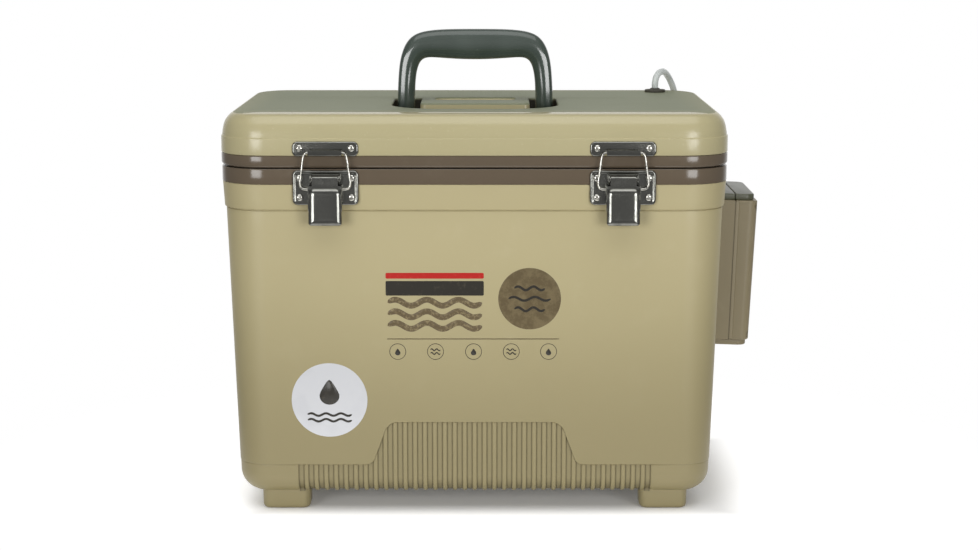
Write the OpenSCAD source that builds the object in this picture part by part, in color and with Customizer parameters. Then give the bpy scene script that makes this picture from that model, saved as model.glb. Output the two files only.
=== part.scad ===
// Insulated live bait box: a moulded tub and lid with foam between their skins,
// two draw latches, a folding handle and a rechargeable air pump on one end wall.
// Millimetres. Z up. The ground is Z = 0, the front faces -Y and the pump sits on the +X end.

/* [Box] */
// Outside width of the lid, its widest level
lid_w = 430; // [400:1:460]
// Outside depth of the lid
lid_d = 281; // [265:1:300]
// Plan radius of the vertical corners at the lid
corner_r = 40; // [34:1:44]
// Height of the parting line above the ground
parting_z = 298; // [285:1:330]
// Height of the moulded feet
foot_h = 15; // [12:1:18]
// Draft of the tub walls in degrees
draft = 2; // [1.5:0.1:2.4]
// Thickness of wall, skin and foam together
wall_t = 27; // [24:1:30]
// Thickness of the tub floor
floor_t = 30; // [26:1:36]
// Thickness of each plastic skin
skin_t = 2.5; // [2:0.1:3]

/* [Tub] */
// Height of the brown rim frame
rim_h = 13; // [11:0.5:15]
// Height of the collar below the rim frame
collar_h = 21.5; // [19:0.5:24]
// How far the body wall sits in from the lid's side, just below the collar
body_step = 3.5; // [3:0.1:5]
// Radius of the tub's lower edge
edge_r = 18; // [12:1:20]
// Height of the lower panel's seam above the ground
seam_z = 42; // [39:1:48]
// Height of the raised middle of the ribbed panel above the ground
arch_z = 79.6; // [74:0.2:90]
// Half width of the arch at the seam
arch_half = 93; // [85:1:105]
// Depth of the step below the seam
seam_step = 0.8; // [0.5:0.1:1.2]
// Distance from one rib to the next
rib_pitch = 8.5; // [8:0.1:9]
// Number of grooves between ribs on each face
groove_count = 36; // [30:1:38]
// Width of a groove
groove_w = 4.4; // [3.8:0.1:5]
// Depth of a groove
groove_depth = 1.4; // [1:0.1:1.8]
// Width of a foot
foot_w = 42; // [36:1:46]
// Depth of a foot, front to back
foot_d = 30; // [26:1:34]

/* [Lid] */
// Height of the lid's brown band
band_h = 10; // [8:0.5:12]
// Gap between the lid's band and the tub's rim
parting_gap = 1; // [0.8:0.1:1.4]
// Height of the lid above the parting line
lid_h = 46; // [44:1:52]
// Height of the ridge around the lid above the parting line
ridge_h = 25.6; // [24:0.2:27]
// How far the lid's plug reaches down into the tub
plug_h = 12; // [8:1:16]
// Gap between the plug and the tub's walls
plug_gap = 2; // [1.6:0.1:3]

/* [Handle] */
// Outside width of the handle at its pivots
handle_w = 138.6; // [130:0.2:142]
// Width of a handle leg
leg_w = 15.6; // [14:0.2:17]
// Thickness of the handle, front to back
handle_t = 18; // [16:0.2:18]
// Height of the handle above its pivot
handle_h = 74.3; // [70:0.1:78]
// Height of the grip, seen from the front
grip_h = 26; // [22:0.5:28]
// Radius of the pivot pins
handle_pin_r = 3; // [2.5:0.1:3.4]
// Depth of the recess that takes the folded handle
recess_depth = 20; // [19:0.5:22]
// Half width of the recess
recess_half = 74; // [72:0.5:78]
// Half width of the island between the legs
island_half = 47; // [44:0.5:49]

/* [Latches] */
// Distance of each latch from the middle of the box
latch_x = 124; // [110:1:135]
// Width of the keeper and base plates
latch_plate_w = 55.4; // [50:0.2:60]
// Height of the keeper plate
keeper_h = 12.6; // [11:0.2:14]
// Height of the base plate
base_plate_h = 29.3; // [27:0.1:31]
// Thickness of the pressed plates
latch_plate_t = 1.7; // [1.4:0.1:2.2]
// Length of the lever's barrel
barrel_w = 21.6; // [19:0.2:24]
// Radius of the lever's pivot pin
lever_pin_r = 1.5; // [1.2:0.1:1.8]
// Width of the lever's thumb pad
pad_w = 28.5; // [25:0.5:29]
// Radius of the bail wire
bail_r = 1; // [0.8:0.1:1.1]

/* [Hinges] */
// Distance of each hinge from the middle of the box
hinge_x = 110; // [80:1:140]
// Width of a hinge
hinge_w = 44; // [36:1:56]
// Radius of the hinge knuckles
knuckle_r = 3.5; // [3.2:0.1:4]
// Radius of the hinge pins
hinge_pin_r = 2; // [1.6:0.1:2.2]
// Thickness of the hinge leaves
leaf_t = 1.5; // [1.2:0.1:1.8]

/* [Air pump] */
// Depth of the pump case, front to back
pump_d = 100; // [92:1:108]
// Height of the pump case
pump_h = 135; // [128:1:142]
// How far the pump reaches out from the wall at its top
pump_reach = 37.5; // [35:0.5:42]
// How far the half of the case next to the wall reaches out
pump_inner_reach = 17; // [15:0.5:18]
// How far the pump's top lies below the parting line
pump_drop = 31.6; // [29:0.2:36]
// Thickness of the pump case
case_t = 2; // [1.6:0.1:2.4]
// Diameter of the pump motor
motor_d = 24.4; // [22:0.2:25]
// Diameter of a battery cell
cell_d = 18.4; // [17:0.2:19]
// Diameter of the pump's button
button_d = 14; // [12:0.5:16]
// Travel of the pump's button
button_travel = 1; // [0.8:0.1:1.2]

/* [Air line] */
// Outside diameter of the air tube
tube_d = 6; // [5:0.5:6.5]
// Diameter of the air stone
stone_d = 18; // [15:1:20]
// Length of the air stone
stone_len = 40; // [30:1:50]
// Diameter of the rubber grommet's head
grommet_d = 19.4; // [18:0.2:21]
// Height of the grommet's head
grommet_h = 4; // [3:0.5:5]

/* [Fits] */
// Radial clearance of a running fit
run_fit = 0.05; // [0.03:0.01:0.08]
// Gap between soft or foamed pieces and their neighbours
soft_gap = 0.3; // [0.2:0.05:0.4]
// Gap between moving pieces side by side
side_gap = 0.4; // [0.3:0.05:0.5]

/* [Hidden] */
$fn = 48;
EPS = 0.01;

// Levels of the tub and the lid
rim_z = parting_z - rim_h;
collar_z = rim_z - collar_h;
floor_z = foot_h + floor_t;
band_z = parting_z + parting_gap;
lid_shell_z = parting_z + parting_gap + band_h;
ridge_z = parting_z + ridge_h;
lid_top_z = parting_z + lid_h;
plug_z = parting_z - plug_h;
pump_top_z = parting_z - pump_drop;

// Insets from the lid's side
rim_inset = 0.5;
collar_inset = 0.8;
collar_low_inset = 2.2;
function body_inset(z) = body_step + (collar_z - z) * tan(draft);
function liner_inset(z) = body_inset(z) + wall_t;
function body_half_w(z) = lid_w / 2 - body_inset(z);
function body_half_d(z) = lid_d / 2 - body_inset(z);

// A thin rounded slab of the box's footprint, drawn in by an inset
module slab(inset, z, t = EPS) {
    translate([0, 0, z])
        linear_extrude(t)
            rounded(lid_w - 2 * inset, lid_d - 2 * inset, max(corner_r - inset, 4));
}

module rounded(w, d, r) {
    square([w - 2 * r, d], center = true);
    square([w, d - 2 * r], center = true);
    for (x = [-1, 1], y = [-1, 1])
        translate([x * (w / 2 - r), y * (d / 2 - r)])
            circle(r);
}

module ring(inset_out, inset_in, z, t) {
    difference() {
        slab(inset_out, z, t);
        slab(inset_in, z - 1, t + 2);
    }
}

// A round bar along X, and one along Y, centred on their middle
module bar_x(r, len) { rotate([0, 90, 0]) cylinder(r = r, h = len, center = true); }
module bar_y(r, len) { rotate([90, 0, 0]) cylinder(r = r, h = len, center = true); }

// A rounded plate that stands in the XZ plane, its back at Y = 0, reaching to -Y
module front_plate(w, h, t, r) {
    rotate([90, 0, 0])
        linear_extrude(t)
            rounded(w, h, r);
}

// Pan head screw whose head sits on Y = 0 and faces -Y; the thread runs to +Y
screw_head_r = 2.85;
screw_head_t = 1.2;
screw_r = 1.6;
screw_bore_r = screw_r + 0.1;
screw_len = 10;
slot_len = 3.2;
slot_w = 0.7;
slot_depth = 0.8;
module screw(len) {
    difference() {
        union() {
            translate([0, -screw_head_t / 2, 0]) bar_y(screw_head_r, screw_head_t);
            translate([0, len / 2, 0]) bar_y(screw_r, len);
        }
        for (turn = [0, 90])
            rotate([0, turn, 0])
                translate([-slot_len / 2, -screw_head_t - EPS, -slot_w / 2])
                    cube([slot_len, slot_depth, slot_w]);
    }
}

// ---- Tub ----

// The tub's tapered body, drawn in by an inset from its outer face
edge_steps = 6;
module body_form(inset, z_low, z_high, r_edge) {
    hull() {
        for (k = [0 : edge_steps]) {
            a = 90 * k / edge_steps;
            z = z_low + r_edge * (1 - sin(a));
            slab(body_inset(z) + inset + r_edge * (1 - cos(a)), z);
        }
        slab(body_inset(z_high) + inset, z_high - EPS);
    }
}

// Outline of the ribbed panel's raised middle: two fillets joined by a steep side
arch_low_r = 8;
arch_top_r = 12;
arch_slope = 70;
arc_steps = 8;
function arc(cx, cy, r, a0, a1) =
    [for (k = [0 : arc_steps])
        let (a = a0 + (a1 - a0) * k / arc_steps)
            [cx + r * cos(a), cy + r * sin(a)]];
low_end_x = -arch_half + arch_low_r * sin(arch_slope);
low_end_z = seam_z + arch_low_r * (1 - cos(arch_slope));
top_start_z = arch_z - arch_top_r * (1 - cos(arch_slope));
top_x = low_end_x + (top_start_z - low_end_z) / tan(arch_slope) + arch_top_r * sin(arch_slope);
arch_left = concat(
    arc(-arch_half, seam_z + arch_low_r, arch_low_r, -90, arch_slope - 90),
    arc(top_x, arch_z - arch_top_r, arch_top_r, 90 + arch_slope, 90)
);
module arch_outline() {
    right = [for (k = [len(arch_left) - 1 : -1 : 0]) [-arch_left[k][0], arch_left[k][1]]];
    polygon(concat(arch_left, right));
}

module above_seam() {
    rotate([90, 0, 0])
        linear_extrude(2 * lid_d, center = true)
            difference() {
                translate([-lid_w, seam_z]) square([2 * lid_w, parting_z]);
                arch_outline();
            }
}

foot_x = lid_w / 2 - 52;
foot_y = lid_d / 2 - 37.5;
foot_pad_t = 2.5;
foot_pad_inset = 2.5;
foot_corner = 8;
foot_overlap = 3;
module foot() {
    linear_extrude(foot_pad_t + EPS)
        rounded(foot_w - 2 * foot_pad_inset, foot_d - 2 * foot_pad_inset, foot_corner - foot_pad_inset);
    translate([0, 0, foot_pad_t])
        linear_extrude(foot_h + foot_overlap - foot_pad_t)
            rounded(foot_w, foot_d, foot_corner);
}

// Grooves that leave the ribs standing; they follow the wall's draft
arch_groove_half = arch_half - 22;
cutter_d = 4 * groove_depth;
module grooves() {
    first_x = -(groove_count - 1) / 2 * rib_pitch;
    for (face = [-1, 1], k = [0 : groove_count - 1]) {
        x = first_x + k * rib_pitch;
        top = abs(x) < arch_groove_half ? arch_z : seam_z;
        surface = body_half_d(seam_z) - seam_step - groove_depth;
        translate([x, face * surface, seam_z])
            rotate([-face * draft, 0, 0])
                translate([-groove_w / 2, face < 0 ? -cutter_d : 0, -seam_z])
                    cube([groove_w, cutter_d, top]);
    }
}

module tub_outer_shell() {
    color([0.68, 0.64, 0.49])
    difference() {
        union() {
            difference() {
                union() {
                    body_form(seam_step, foot_h, arch_z + 2, edge_r);
                    intersection() {
                        body_form(0, foot_h, collar_z + EPS, edge_r);
                        above_seam();
                    }
                }
                grooves();
            }
            hull() {
                slab(collar_low_inset, collar_z);
                slab(collar_inset, rim_z - EPS);
            }
            for (x = [-1, 1], y = [-1, 1])
                translate([x * foot_x, y * foot_y, 0]) foot();
        }
        body_form(shell_inset, foot_h + skin_t, rim_z + 1, edge_r - skin_t);
    }
}

shell_inset = seam_step + groove_depth + skin_t;
module tub_insulation() {
    foam_inset = shell_inset + soft_gap;
    hollow_inset = wall_t - skin_t - soft_gap;
    color([0.93, 0.88, 0.72])
    difference() {
        body_form(foam_inset, foot_h + skin_t + soft_gap, rim_z - soft_gap, edge_r - skin_t);
        body_form(hollow_inset, floor_z - skin_t - soft_gap, rim_z + 1, liner_edge_r + skin_t);
    }
}

liner_edge_r = 8;
flange_w = 12;
flange_t = 2;
flange_inset = liner_inset(parting_z) - skin_t - flange_w;
module tub_liner() {
    wall_top_z = parting_z - flange_t / 4;
    color([0.9, 0.89, 0.85])
    difference() {
        union() {
            body_form(wall_t - skin_t, floor_z - skin_t, wall_top_z, liner_edge_r + skin_t);
            slab(flange_inset, parting_z - flange_t, flange_t);
        }
        body_form(wall_t, floor_z, parting_z + skin_t, liner_edge_r);
    }
}

module tub_rim_frame() {
    color([0.38, 0.33, 0.27])
    difference() {
        slab(rim_inset, rim_z, rim_h);
        slab(liner_inset(parting_z) - skin_t - soft_gap, rim_z - 1, rim_h + 2);
        slab(flange_inset, parting_z - flange_t, flange_t + 1);
    }
}

label_r = 32.3;
label_x = -123.6;
label_z = 99.2;
label_t = 0.3;
module capacity_label() {
    color([0.9, 0.9, 0.91])
    translate([label_x, -body_half_d(label_z), label_z])
        rotate([draft, 0, 0])
            translate([0, -label_t / 2 - EPS, 0])
                bar_y(label_r, label_t);
}

// ---- Lid ----

// The dome's section above the ridge: height and inset of each level
dome = [
    [0, 0.8], [6, 1.6], [11.5, 3.2], [15.5, 5.6], [18, 8], [19.4, 9.4], [20.1, 10.6], [20.4, 12.4]
];
dome_h = dome[len(dome) - 1][0];
dome_scale = (lid_h - ridge_h) / dome_h;
module lid_form(inset, z_low) {
    slab(inset, z_low, ridge_z - inset - z_low);
    hull()
        for (level = dome)
            slab(level[1] + inset, ridge_z + level[0] * dome_scale - inset - EPS);
}

// The recess runs round an island, so that the handle can lie in it folded forward
recess_back = 26;
recess_front = 90;
island_front = 33;
recess_front_r = 46;
recess_back_r = 8;
module recess_outline() {
    difference() {
        union() {
            translate([-recess_half, -recess_front + recess_front_r])
                square([2 * recess_half, recess_front - recess_front_r + recess_back - recess_back_r]);
            translate([-recess_half + recess_front_r, -recess_front])
                square([2 * (recess_half - recess_front_r), recess_front]);
            translate([-recess_half + recess_back_r, 0])
                square([2 * (recess_half - recess_back_r), recess_back]);
            for (x = [-1, 1]) {
                translate([x * (recess_half - recess_front_r), -recess_front + recess_front_r])
                    circle(recess_front_r);
                translate([x * (recess_half - recess_back_r), recess_back - recess_back_r])
                    circle(recess_back_r);
            }
        }
        translate([-island_half, -island_front])
            square([2 * island_half, island_front + recess_back + 1]);
    }
}

recess_z = lid_top_z - recess_depth;
pivot_z = recess_z + handle_t / 2 + 0.5;
dish_half = 36;
dish_front = 8;
dish_back = 34;
dish_depth = 2.6;
grommet_in_x = 47;
grommet_in_y = 44.5;
grommet_x = lid_w / 2 - grommet_in_x;
grommet_y = lid_d / 2 - grommet_in_y;
grommet_neck_r = 5;
dish_corner = 6;
module dish_block(skin, h) {
    translate([-dish_half - skin, dish_front - skin, lid_top_z - dish_depth - skin])
        cube([2 * (dish_half + skin), dish_back - dish_front + 2 * skin, h]);
}
module lid_outer_shell() {
    color([0.52, 0.53, 0.43])
    difference() {
        union() {
            difference() {
                lid_form(0, lid_shell_z);
                lid_form(skin_t, lid_shell_z - 1);
            }
            translate([0, 0, recess_z - skin_t])
                linear_extrude(recess_depth + skin_t - EPS)
                    offset(skin_t) recess_outline();
            dish_block(skin_t, dish_depth + skin_t - EPS);
        }
        translate([0, 0, recess_z])
            linear_extrude(recess_depth + 1)
                recess_outline();
        translate([0, (dish_front + dish_back) / 2, lid_top_z - dish_depth])
            linear_extrude(dish_depth + 1)
                rounded(2 * dish_half, dish_back - dish_front, dish_corner);
        translate([0, 0, pivot_z])
            bar_x(handle_pin_r, 2 * (recess_half + skin_t));
        translate([grommet_x, grommet_y, lid_shell_z])
            cylinder(r = grommet_neck_r, h = lid_h);
    }
}

band_w = 6;
band_bevel = 2;
module lid_trim_band() {
    color([0.38, 0.33, 0.27])
    difference() {
        union() {
            slab(0, band_z + band_bevel, band_h - band_bevel);
            hull() {
                slab(band_bevel - 0.4, band_z);
                slab(0, band_z + band_bevel);
            }
        }
        slab(band_w, band_z - 1, band_h + 2);
    }
}

pan_inset = band_w + soft_gap;
pan_z = parting_z + 2;
plug_inset = liner_inset(parting_z) + plug_gap;
module lid_liner() {
    color([0.9, 0.89, 0.85])
    difference() {
        union() {
            slab(pan_inset, pan_z, skin_t);
            slab(plug_inset, plug_z, pan_z + EPS - plug_z);
        }
        slab(plug_inset + skin_t, plug_z + skin_t, plug_h + 10);
        translate([grommet_x, grommet_y, plug_z - 1])
            cylinder(r = grommet_neck_r, h = plug_h + 2);
    }
}

module lid_insulation() {
    color([0.93, 0.88, 0.72])
    difference() {
        union() {
            slab(pan_inset, pan_z + skin_t + soft_gap, lid_shell_z - pan_z - skin_t);
            lid_form(skin_t + soft_gap, lid_shell_z + soft_gap / 2);
            slab(plug_inset + skin_t + soft_gap, plug_z + skin_t + soft_gap, pan_z - plug_z);
        }
        translate([0, 0, recess_z - skin_t - soft_gap])
            linear_extrude(lid_h)
                offset(skin_t + soft_gap) recess_outline();
        dish_block(skin_t + soft_gap, lid_h);
        translate([grommet_x, grommet_y, plug_z - 1])
            cylinder(r = grommet_neck_r + soft_gap, h = lid_h + plug_h);
    }
}

gasket_inset = 13;
gasket_w = 7;
module lid_gasket() {
    color([0.16, 0.16, 0.16])
    ring(gasket_inset, gasket_inset + gasket_w, parting_z + soft_gap, pan_z - parting_z - soft_gap);
}

// ---- Handle ----

handle_half = handle_w / 2;
leg_x = handle_half - leg_w / 2;
handle_top_z = pivot_z + handle_h;
grip_z = handle_top_z - grip_h / 2;
module bead(x, z, rx, rz) {
    translate([x, 0, z])
        scale([rx, handle_t / 2, rz])
            sphere(r = 1, $fn = 24);
}
shoulder = 4.5;
grip_bulge = 30;
module leg_top(x) {
    bead(x * (leg_x - shoulder + 1), grip_z - grip_h / 2 - 1, leg_w / 2, 12);
}
module grip_end(x) {
    bead(x * (leg_x - shoulder - 4), grip_z + 1, leg_w / 2 + 3, grip_h / 2 - 1.5);
}
module handle() {
    color([0.27, 0.31, 0.28])
    difference() {
        union() {
            for (x = [-1, 1]) {
                translate([x * leg_x, 0, pivot_z]) bar_x(handle_t / 2, leg_w);
                hull() {
                    translate([x * leg_x, 0, pivot_z]) bar_x(handle_t / 2 - 0.6, leg_w - 1, $fn = 32);
                    leg_top(x);
                }
                hull() {
                    leg_top(x);
                    grip_end(x);
                }
            }
            hull() {
                for (x = [-1, 1]) grip_end(x);
                bead(0, grip_z, grip_bulge, grip_h / 2);
            }
        }
        for (x = [-1, 1])
            translate([x * leg_x, 0, pivot_z]) bar_x(handle_pin_r + run_fit, leg_w + 4);
    }
}

module handle_pins() {
    pin_len = recess_half - island_half + 2 * skin_t;
    color([0.75, 0.75, 0.76])
    for (x = [-1, 1])
        translate([x * (recess_half + island_half) / 2, 0, pivot_z])
            bar_x(handle_pin_r, pin_len);
}

// ---- Latches ----

plate_corner = 4.5;
face_y = lid_d / 2;
keeper_lap = 0.3;
keeper_mid_z = lid_shell_z - keeper_lap + keeper_h / 2;
keeper_screw_rise = 0.6;
base_drop = 0.8;
base_mid_z = parting_z - base_drop - base_plate_h / 2;
plate_front_y = -face_y - latch_plate_t;
lever_out = 3.8;
lever_rise = 7.65;
lever_y = plate_front_y - lever_out;
lever_z = base_mid_z + lever_rise;
barrel_r = 3;
bail_drop = 8.5;
bail_z = lever_z - bail_drop;
hook_rise = 22.1;
hook_bar_z = lever_z + hook_rise;
hook_t = 1.2;
hook_gap = 0.8;
hook_half = 14;
screw_edge = 6.1;
screw_x = latch_plate_w / 2 - screw_edge;
base_screw_rise = 8.15;

module latch_at(side) { translate([side * latch_x, 0, 0]) children(); }

module keeper(side) {
    plate_z = keeper_mid_z;
    outer_y = lever_y - bail_r - hook_gap - hook_t;
    hook_floor_z = hook_bar_z - bail_r - 0.3;
    color([0.62, 0.62, 0.6])
    latch_at(side) {
        difference() {
            union() {
                translate([0, -face_y, plate_z])
                    front_plate(latch_plate_w, keeper_h, latch_plate_t, plate_corner);
                translate([-hook_half, outer_y, hook_floor_z - hook_t])
                    cube([2 * hook_half, -face_y - outer_y - EPS, hook_t]);
                translate([-hook_half, outer_y, hook_floor_z - hook_t])
                    cube([2 * hook_half, hook_t, hook_t + bail_r + 0.1]);
            }
            for (x = [-1, 1])
                translate([x * screw_x, -face_y, plate_z + keeper_screw_rise])
                    bar_y(screw_bore_r, screw_len);
        }
    }
}
module latch_keeper_left() { keeper(-1); }
module latch_keeper_right() { keeper(1); }

module latch_keeper_screws() {
    color([0.72, 0.72, 0.7])
    for (side = [-1, 1], x = [-1, 1])
        latch_at(side)
            translate([x * screw_x, -face_y - latch_plate_t, keeper_mid_z + keeper_screw_rise])
                screw(screw_len);
}

ear_t = 1.4;
ear_x = barrel_w / 2 + side_gap;
base_back_y = -face_y + rim_inset;
module base_plate(side) {
    plate_t = latch_plate_t + rim_inset;
    color([0.6, 0.6, 0.58])
    latch_at(side)
        difference() {
            union() {
                translate([0, base_back_y, base_mid_z])
                    front_plate(latch_plate_w, base_plate_h, plate_t, plate_corner);
                for (x = [-1, 1])
                    translate([x * (ear_x + ear_t / 2), lever_y, lever_z]) {
                        bar_x(barrel_r + 0.5, ear_t);
                        translate([-ear_t / 2, 0, -barrel_r - 0.5])
                            cube([ear_t, base_back_y - 1 - lever_y, 2 * barrel_r + 1]);
                    }
            }
            translate([0, lever_y, lever_z]) bar_x(lever_pin_r, latch_plate_w);
            for (x = [-1, 1], z = [-1, 1])
                translate([x * screw_x, base_back_y, base_mid_z + z * base_screw_rise])
                    bar_y(screw_bore_r, screw_len);
        }
}
module latch_base_plate_left() { base_plate(-1); }
module latch_base_plate_right() { base_plate(1); }

module latch_base_screws() {
    color([0.72, 0.72, 0.7])
    for (side = [-1, 1], x = [-1, 1], z = [-1, 1])
        latch_at(side)
            translate([x * screw_x, plate_front_y, base_mid_z + z * base_screw_rise])
                screw(screw_len);
}

pin_half = ear_x + ear_t + 0.3;
module latch_lever_pins() {
    color([0.75, 0.75, 0.74])
    for (side = [-1, 1])
        latch_at(side)
            translate([0, lever_y, lever_z])
                bar_x(lever_pin_r, 2 * pin_half);
}

// The lever's side section, measured from its pivot: [out, up]; the sheet is folded
// outward over the thumb pad and flares at its tip
sheet_t = 1.4;
flange_x = pin_half + side_gap;
pad_top = -9.4;
pad_tip = -38.4;
neck_section = [
    [-3, 0], [-3, -7.6], [-4.6, pad_top], [-3.2, pad_top - 0.6], [-1.6, -7.9], [-1.6, -1]
];
pad_section = [
    [-3, -8.2], [-4.6, pad_top], [-6.6, -12], [-6.8, -18], [-6.2, -26], [-6.6, -32], [-8.4, -37.4],
    [-8.4, pad_tip], [-7.4, pad_tip], [-5.2, -32], [-4.7, -26], [-5.2, -18], [-5, -13], [-3.2, pad_top],
    [-1.8, -8.2]
];
flange_section = [
    [-4.6, -8], [-6.2, -13], [-6, -24], [1.6, -20], [3, -12], [3, -6.4], [1.2, -4.6], [-2.8, -4.6]
];
lever_tip = min([for (p = pad_section) p[0]]);
module section_x(points, half) {
    rotate([90, 0, 90])
        translate([0, 0, -half])
            linear_extrude(2 * half)
                polygon(points);
}
module lever(side) {
    color([0.6, 0.6, 0.58])
    latch_at(side)
        translate([0, lever_y, lever_z])
            difference() {
                union() {
                    bar_x(barrel_r, barrel_w);
                    section_x(neck_section, barrel_w / 2);
                    section_x(pad_section, pad_w / 2);
                    translate([0, -2.4, -6.6])
                        cube([2 * (flange_x + sheet_t), sheet_t, 3.4], center = true);
                    for (x = [-1, 1])
                        translate([x * (flange_x + sheet_t / 2), 0, 0])
                            section_x(flange_section, sheet_t / 2);
                    translate([0, -4.4, -11])
                        cube([2 * (flange_x + sheet_t), 1.2, 3], center = true);
                }
                bar_x(lever_pin_r + run_fit, barrel_w + 1);
                translate([0, 0, -bail_drop]) bar_x(bail_r + run_fit, 4 * flange_x);
            }
}
module latch_lever_left() { lever(-1); }
module latch_lever_right() { lever(1); }

// The bail's wire from one end in the lever, round its loop, to the other: [across, up]
bail_half = [
    [15.4, 0], [17.6, 0.2], [19.6, 1.1], [20.8, 2.9], [20.9, 5], [18.2, 26], [17.7, 28], [16.4, 29.8],
    [14.4, 30.6]
];
bail_loop = concat(
    [for (p = bail_half) [p[0], 0, p[1]]],
    [for (k = [len(bail_half) - 1 : -1 : 0]) [-bail_half[k][0], 0, bail_half[k][1]]]
);
bail_end = 12.2;
module bail(side) {
    color([0.75, 0.75, 0.74])
    latch_at(side)
        translate([0, lever_y, bail_z]) {
            tube(bail_loop, bail_r, [0, 1, 0]);
            for (x = [-1, 1])
                translate([x * (bail_half[0][0] + bail_end) / 2, 0, 0])
                    bar_x(bail_r, bail_half[0][0] - bail_end + 0.4);
        }
}
module latch_bail_left() { bail(-1); }
module latch_bail_right() { bail(1); }

// ---- Hinges ----

hinge_y = lid_d / 2 + knuckle_r + 0.2;
hinge_z = parting_z + parting_gap / 2;
leaf_h = 26;
knuckle_gap = 0.3;
knuckle_w = hinge_w / 3;
hinge_screw_x = hinge_w / 2 - 7;
module hinge_at(side) { translate([side * hinge_x, 0, 0]) children(); }
leaf_mid = 20;
leaf_corner = 3;
leaf_neck_h = 9;
module leaf(up) {
    difference() {
        translate([0, lid_d / 2, up * leaf_mid])
            rotate([90, 0, 180])
                linear_extrude(leaf_t)
                    rounded(hinge_w, leaf_h, leaf_corner);
        for (x = [-1, 1])
            translate([x * hinge_screw_x, lid_d / 2, up * leaf_mid])
                bar_y(screw_bore_r, screw_len);
    }
}
module hinge_tub_leaves() {
    color([0.62, 0.62, 0.6])
    for (side = [-1, 1])
        hinge_at(side) {
            translate([0, 0, hinge_z]) {
                leaf(-1);
                difference() {
                    for (x = [-1, 1])
                        translate([x * knuckle_w, 0, 0]) {
                            translate([0, hinge_y, 0]) bar_x(knuckle_r, knuckle_w);
                            translate([-knuckle_w / 2, lid_d / 2, -leaf_neck_h])
                                cube([knuckle_w, leaf_t, leaf_neck_h]);
                        }
                    translate([0, hinge_y, 0]) bar_x(hinge_pin_r, hinge_w + 2);
                }
            }
        }
}
module hinge_lid_leaves() {
    color([0.62, 0.62, 0.6])
    for (side = [-1, 1])
        hinge_at(side) {
            translate([0, 0, hinge_z]) {
                leaf(1);
                difference() {
                    union() {
                        translate([0, hinge_y, 0]) bar_x(knuckle_r, knuckle_w - 2 * knuckle_gap);
                        translate([-knuckle_w / 2 + knuckle_gap, lid_d / 2, 0])
                            cube([knuckle_w - 2 * knuckle_gap, leaf_t, leaf_neck_h]);
                    }
                    translate([0, hinge_y, 0]) bar_x(hinge_pin_r + run_fit, hinge_w);
                }
            }
        }
}
module hinge_pins() {
    color([0.75, 0.75, 0.74])
    for (side = [-1, 1])
        hinge_at(side)
            translate([0, hinge_y, hinge_z]) bar_x(hinge_pin_r, hinge_w);
}
module hinge_screws(up) {
    color([0.72, 0.72, 0.7])
    for (side = [-1, 1], x = [-1, 1])
        hinge_at(side)
            translate([x * hinge_screw_x, lid_d / 2 + leaf_t, hinge_z + up * leaf_mid])
                rotate([0, 0, 180]) screw(screw_len);
}
module hinge_tub_screws() { hinge_screws(-1); }
module hinge_lid_screws() { hinge_screws(1); }

// ---- Air pump, drawn with X out from the wall, Z down from its top ----

pump_lean = draft;
module bar_out(r, len) { rotate([0, 90, 0]) cylinder(r = r, h = len); }
pump_wall_x = body_half_w(pump_top_z);
bracket_t = 4;
bracket_screw_len = 12;
bracket_w = 80;
bracket_h = 95;
bracket_low = -(pump_h + bracket_h) / 2;
bracket_screw_y = bracket_w / 2 - 10;
bracket_screw_z = bracket_h / 2 - 12;
case_corner = 8;
cap_h = 5.6;
collar_clear = 2;
back_x = bracket_t + screw_head_t + 0.4;
inside_x = back_x + case_t;
cap_inset = 3;
base_cap_h = 5;
base_cap_inset = 2;
body_low = -pump_h + base_cap_h;
outer_taper = 1.9;
function outer_x(z) = pump_reach - outer_taper * z / -pump_h;
seal_t = 1;
seal_x = pump_inner_reach + seal_t;
module pump_at() {
    translate([pump_wall_x, 0, pump_top_z])
        rotate([0, pump_lean, 0])
            children();
}

// Half of the case in plan, with its outer corners rounded
module half_plan(x0, x1, d, r) {
    translate([x0, -d / 2]) square([x1 - x0 - r, d]);
    translate([x0, -d / 2 + r]) square([x1 - x0, d - 2 * r]);
    for (y = [-1, 1])
        translate([x1 - r, y * (d / 2 - r)]) circle(r);
}

module pump_bracket() {
    color([0.35, 0.35, 0.33])
    pump_at()
        difference() {
            translate([2 * EPS, -bracket_w / 2, bracket_low])
                cube([bracket_t - 2 * EPS, bracket_w, bracket_h]);
            for (y = [-1, 1], z = [-1, 1])
                translate([0, y * bracket_screw_y, -pump_h / 2 + z * bracket_screw_z])
                    bar_x(screw_bore_r, 2 * bracket_screw_len);
        }
}
module pump_bracket_screws() {
    color([0.72, 0.72, 0.7])
    pump_at()
        for (y = [-1, 1], z = [-1, 1])
            translate([bracket_t, y * bracket_screw_y, -pump_h / 2 + z * bracket_screw_z])
                rotate([0, 0, 90]) screw(bracket_screw_len);
}

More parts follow.
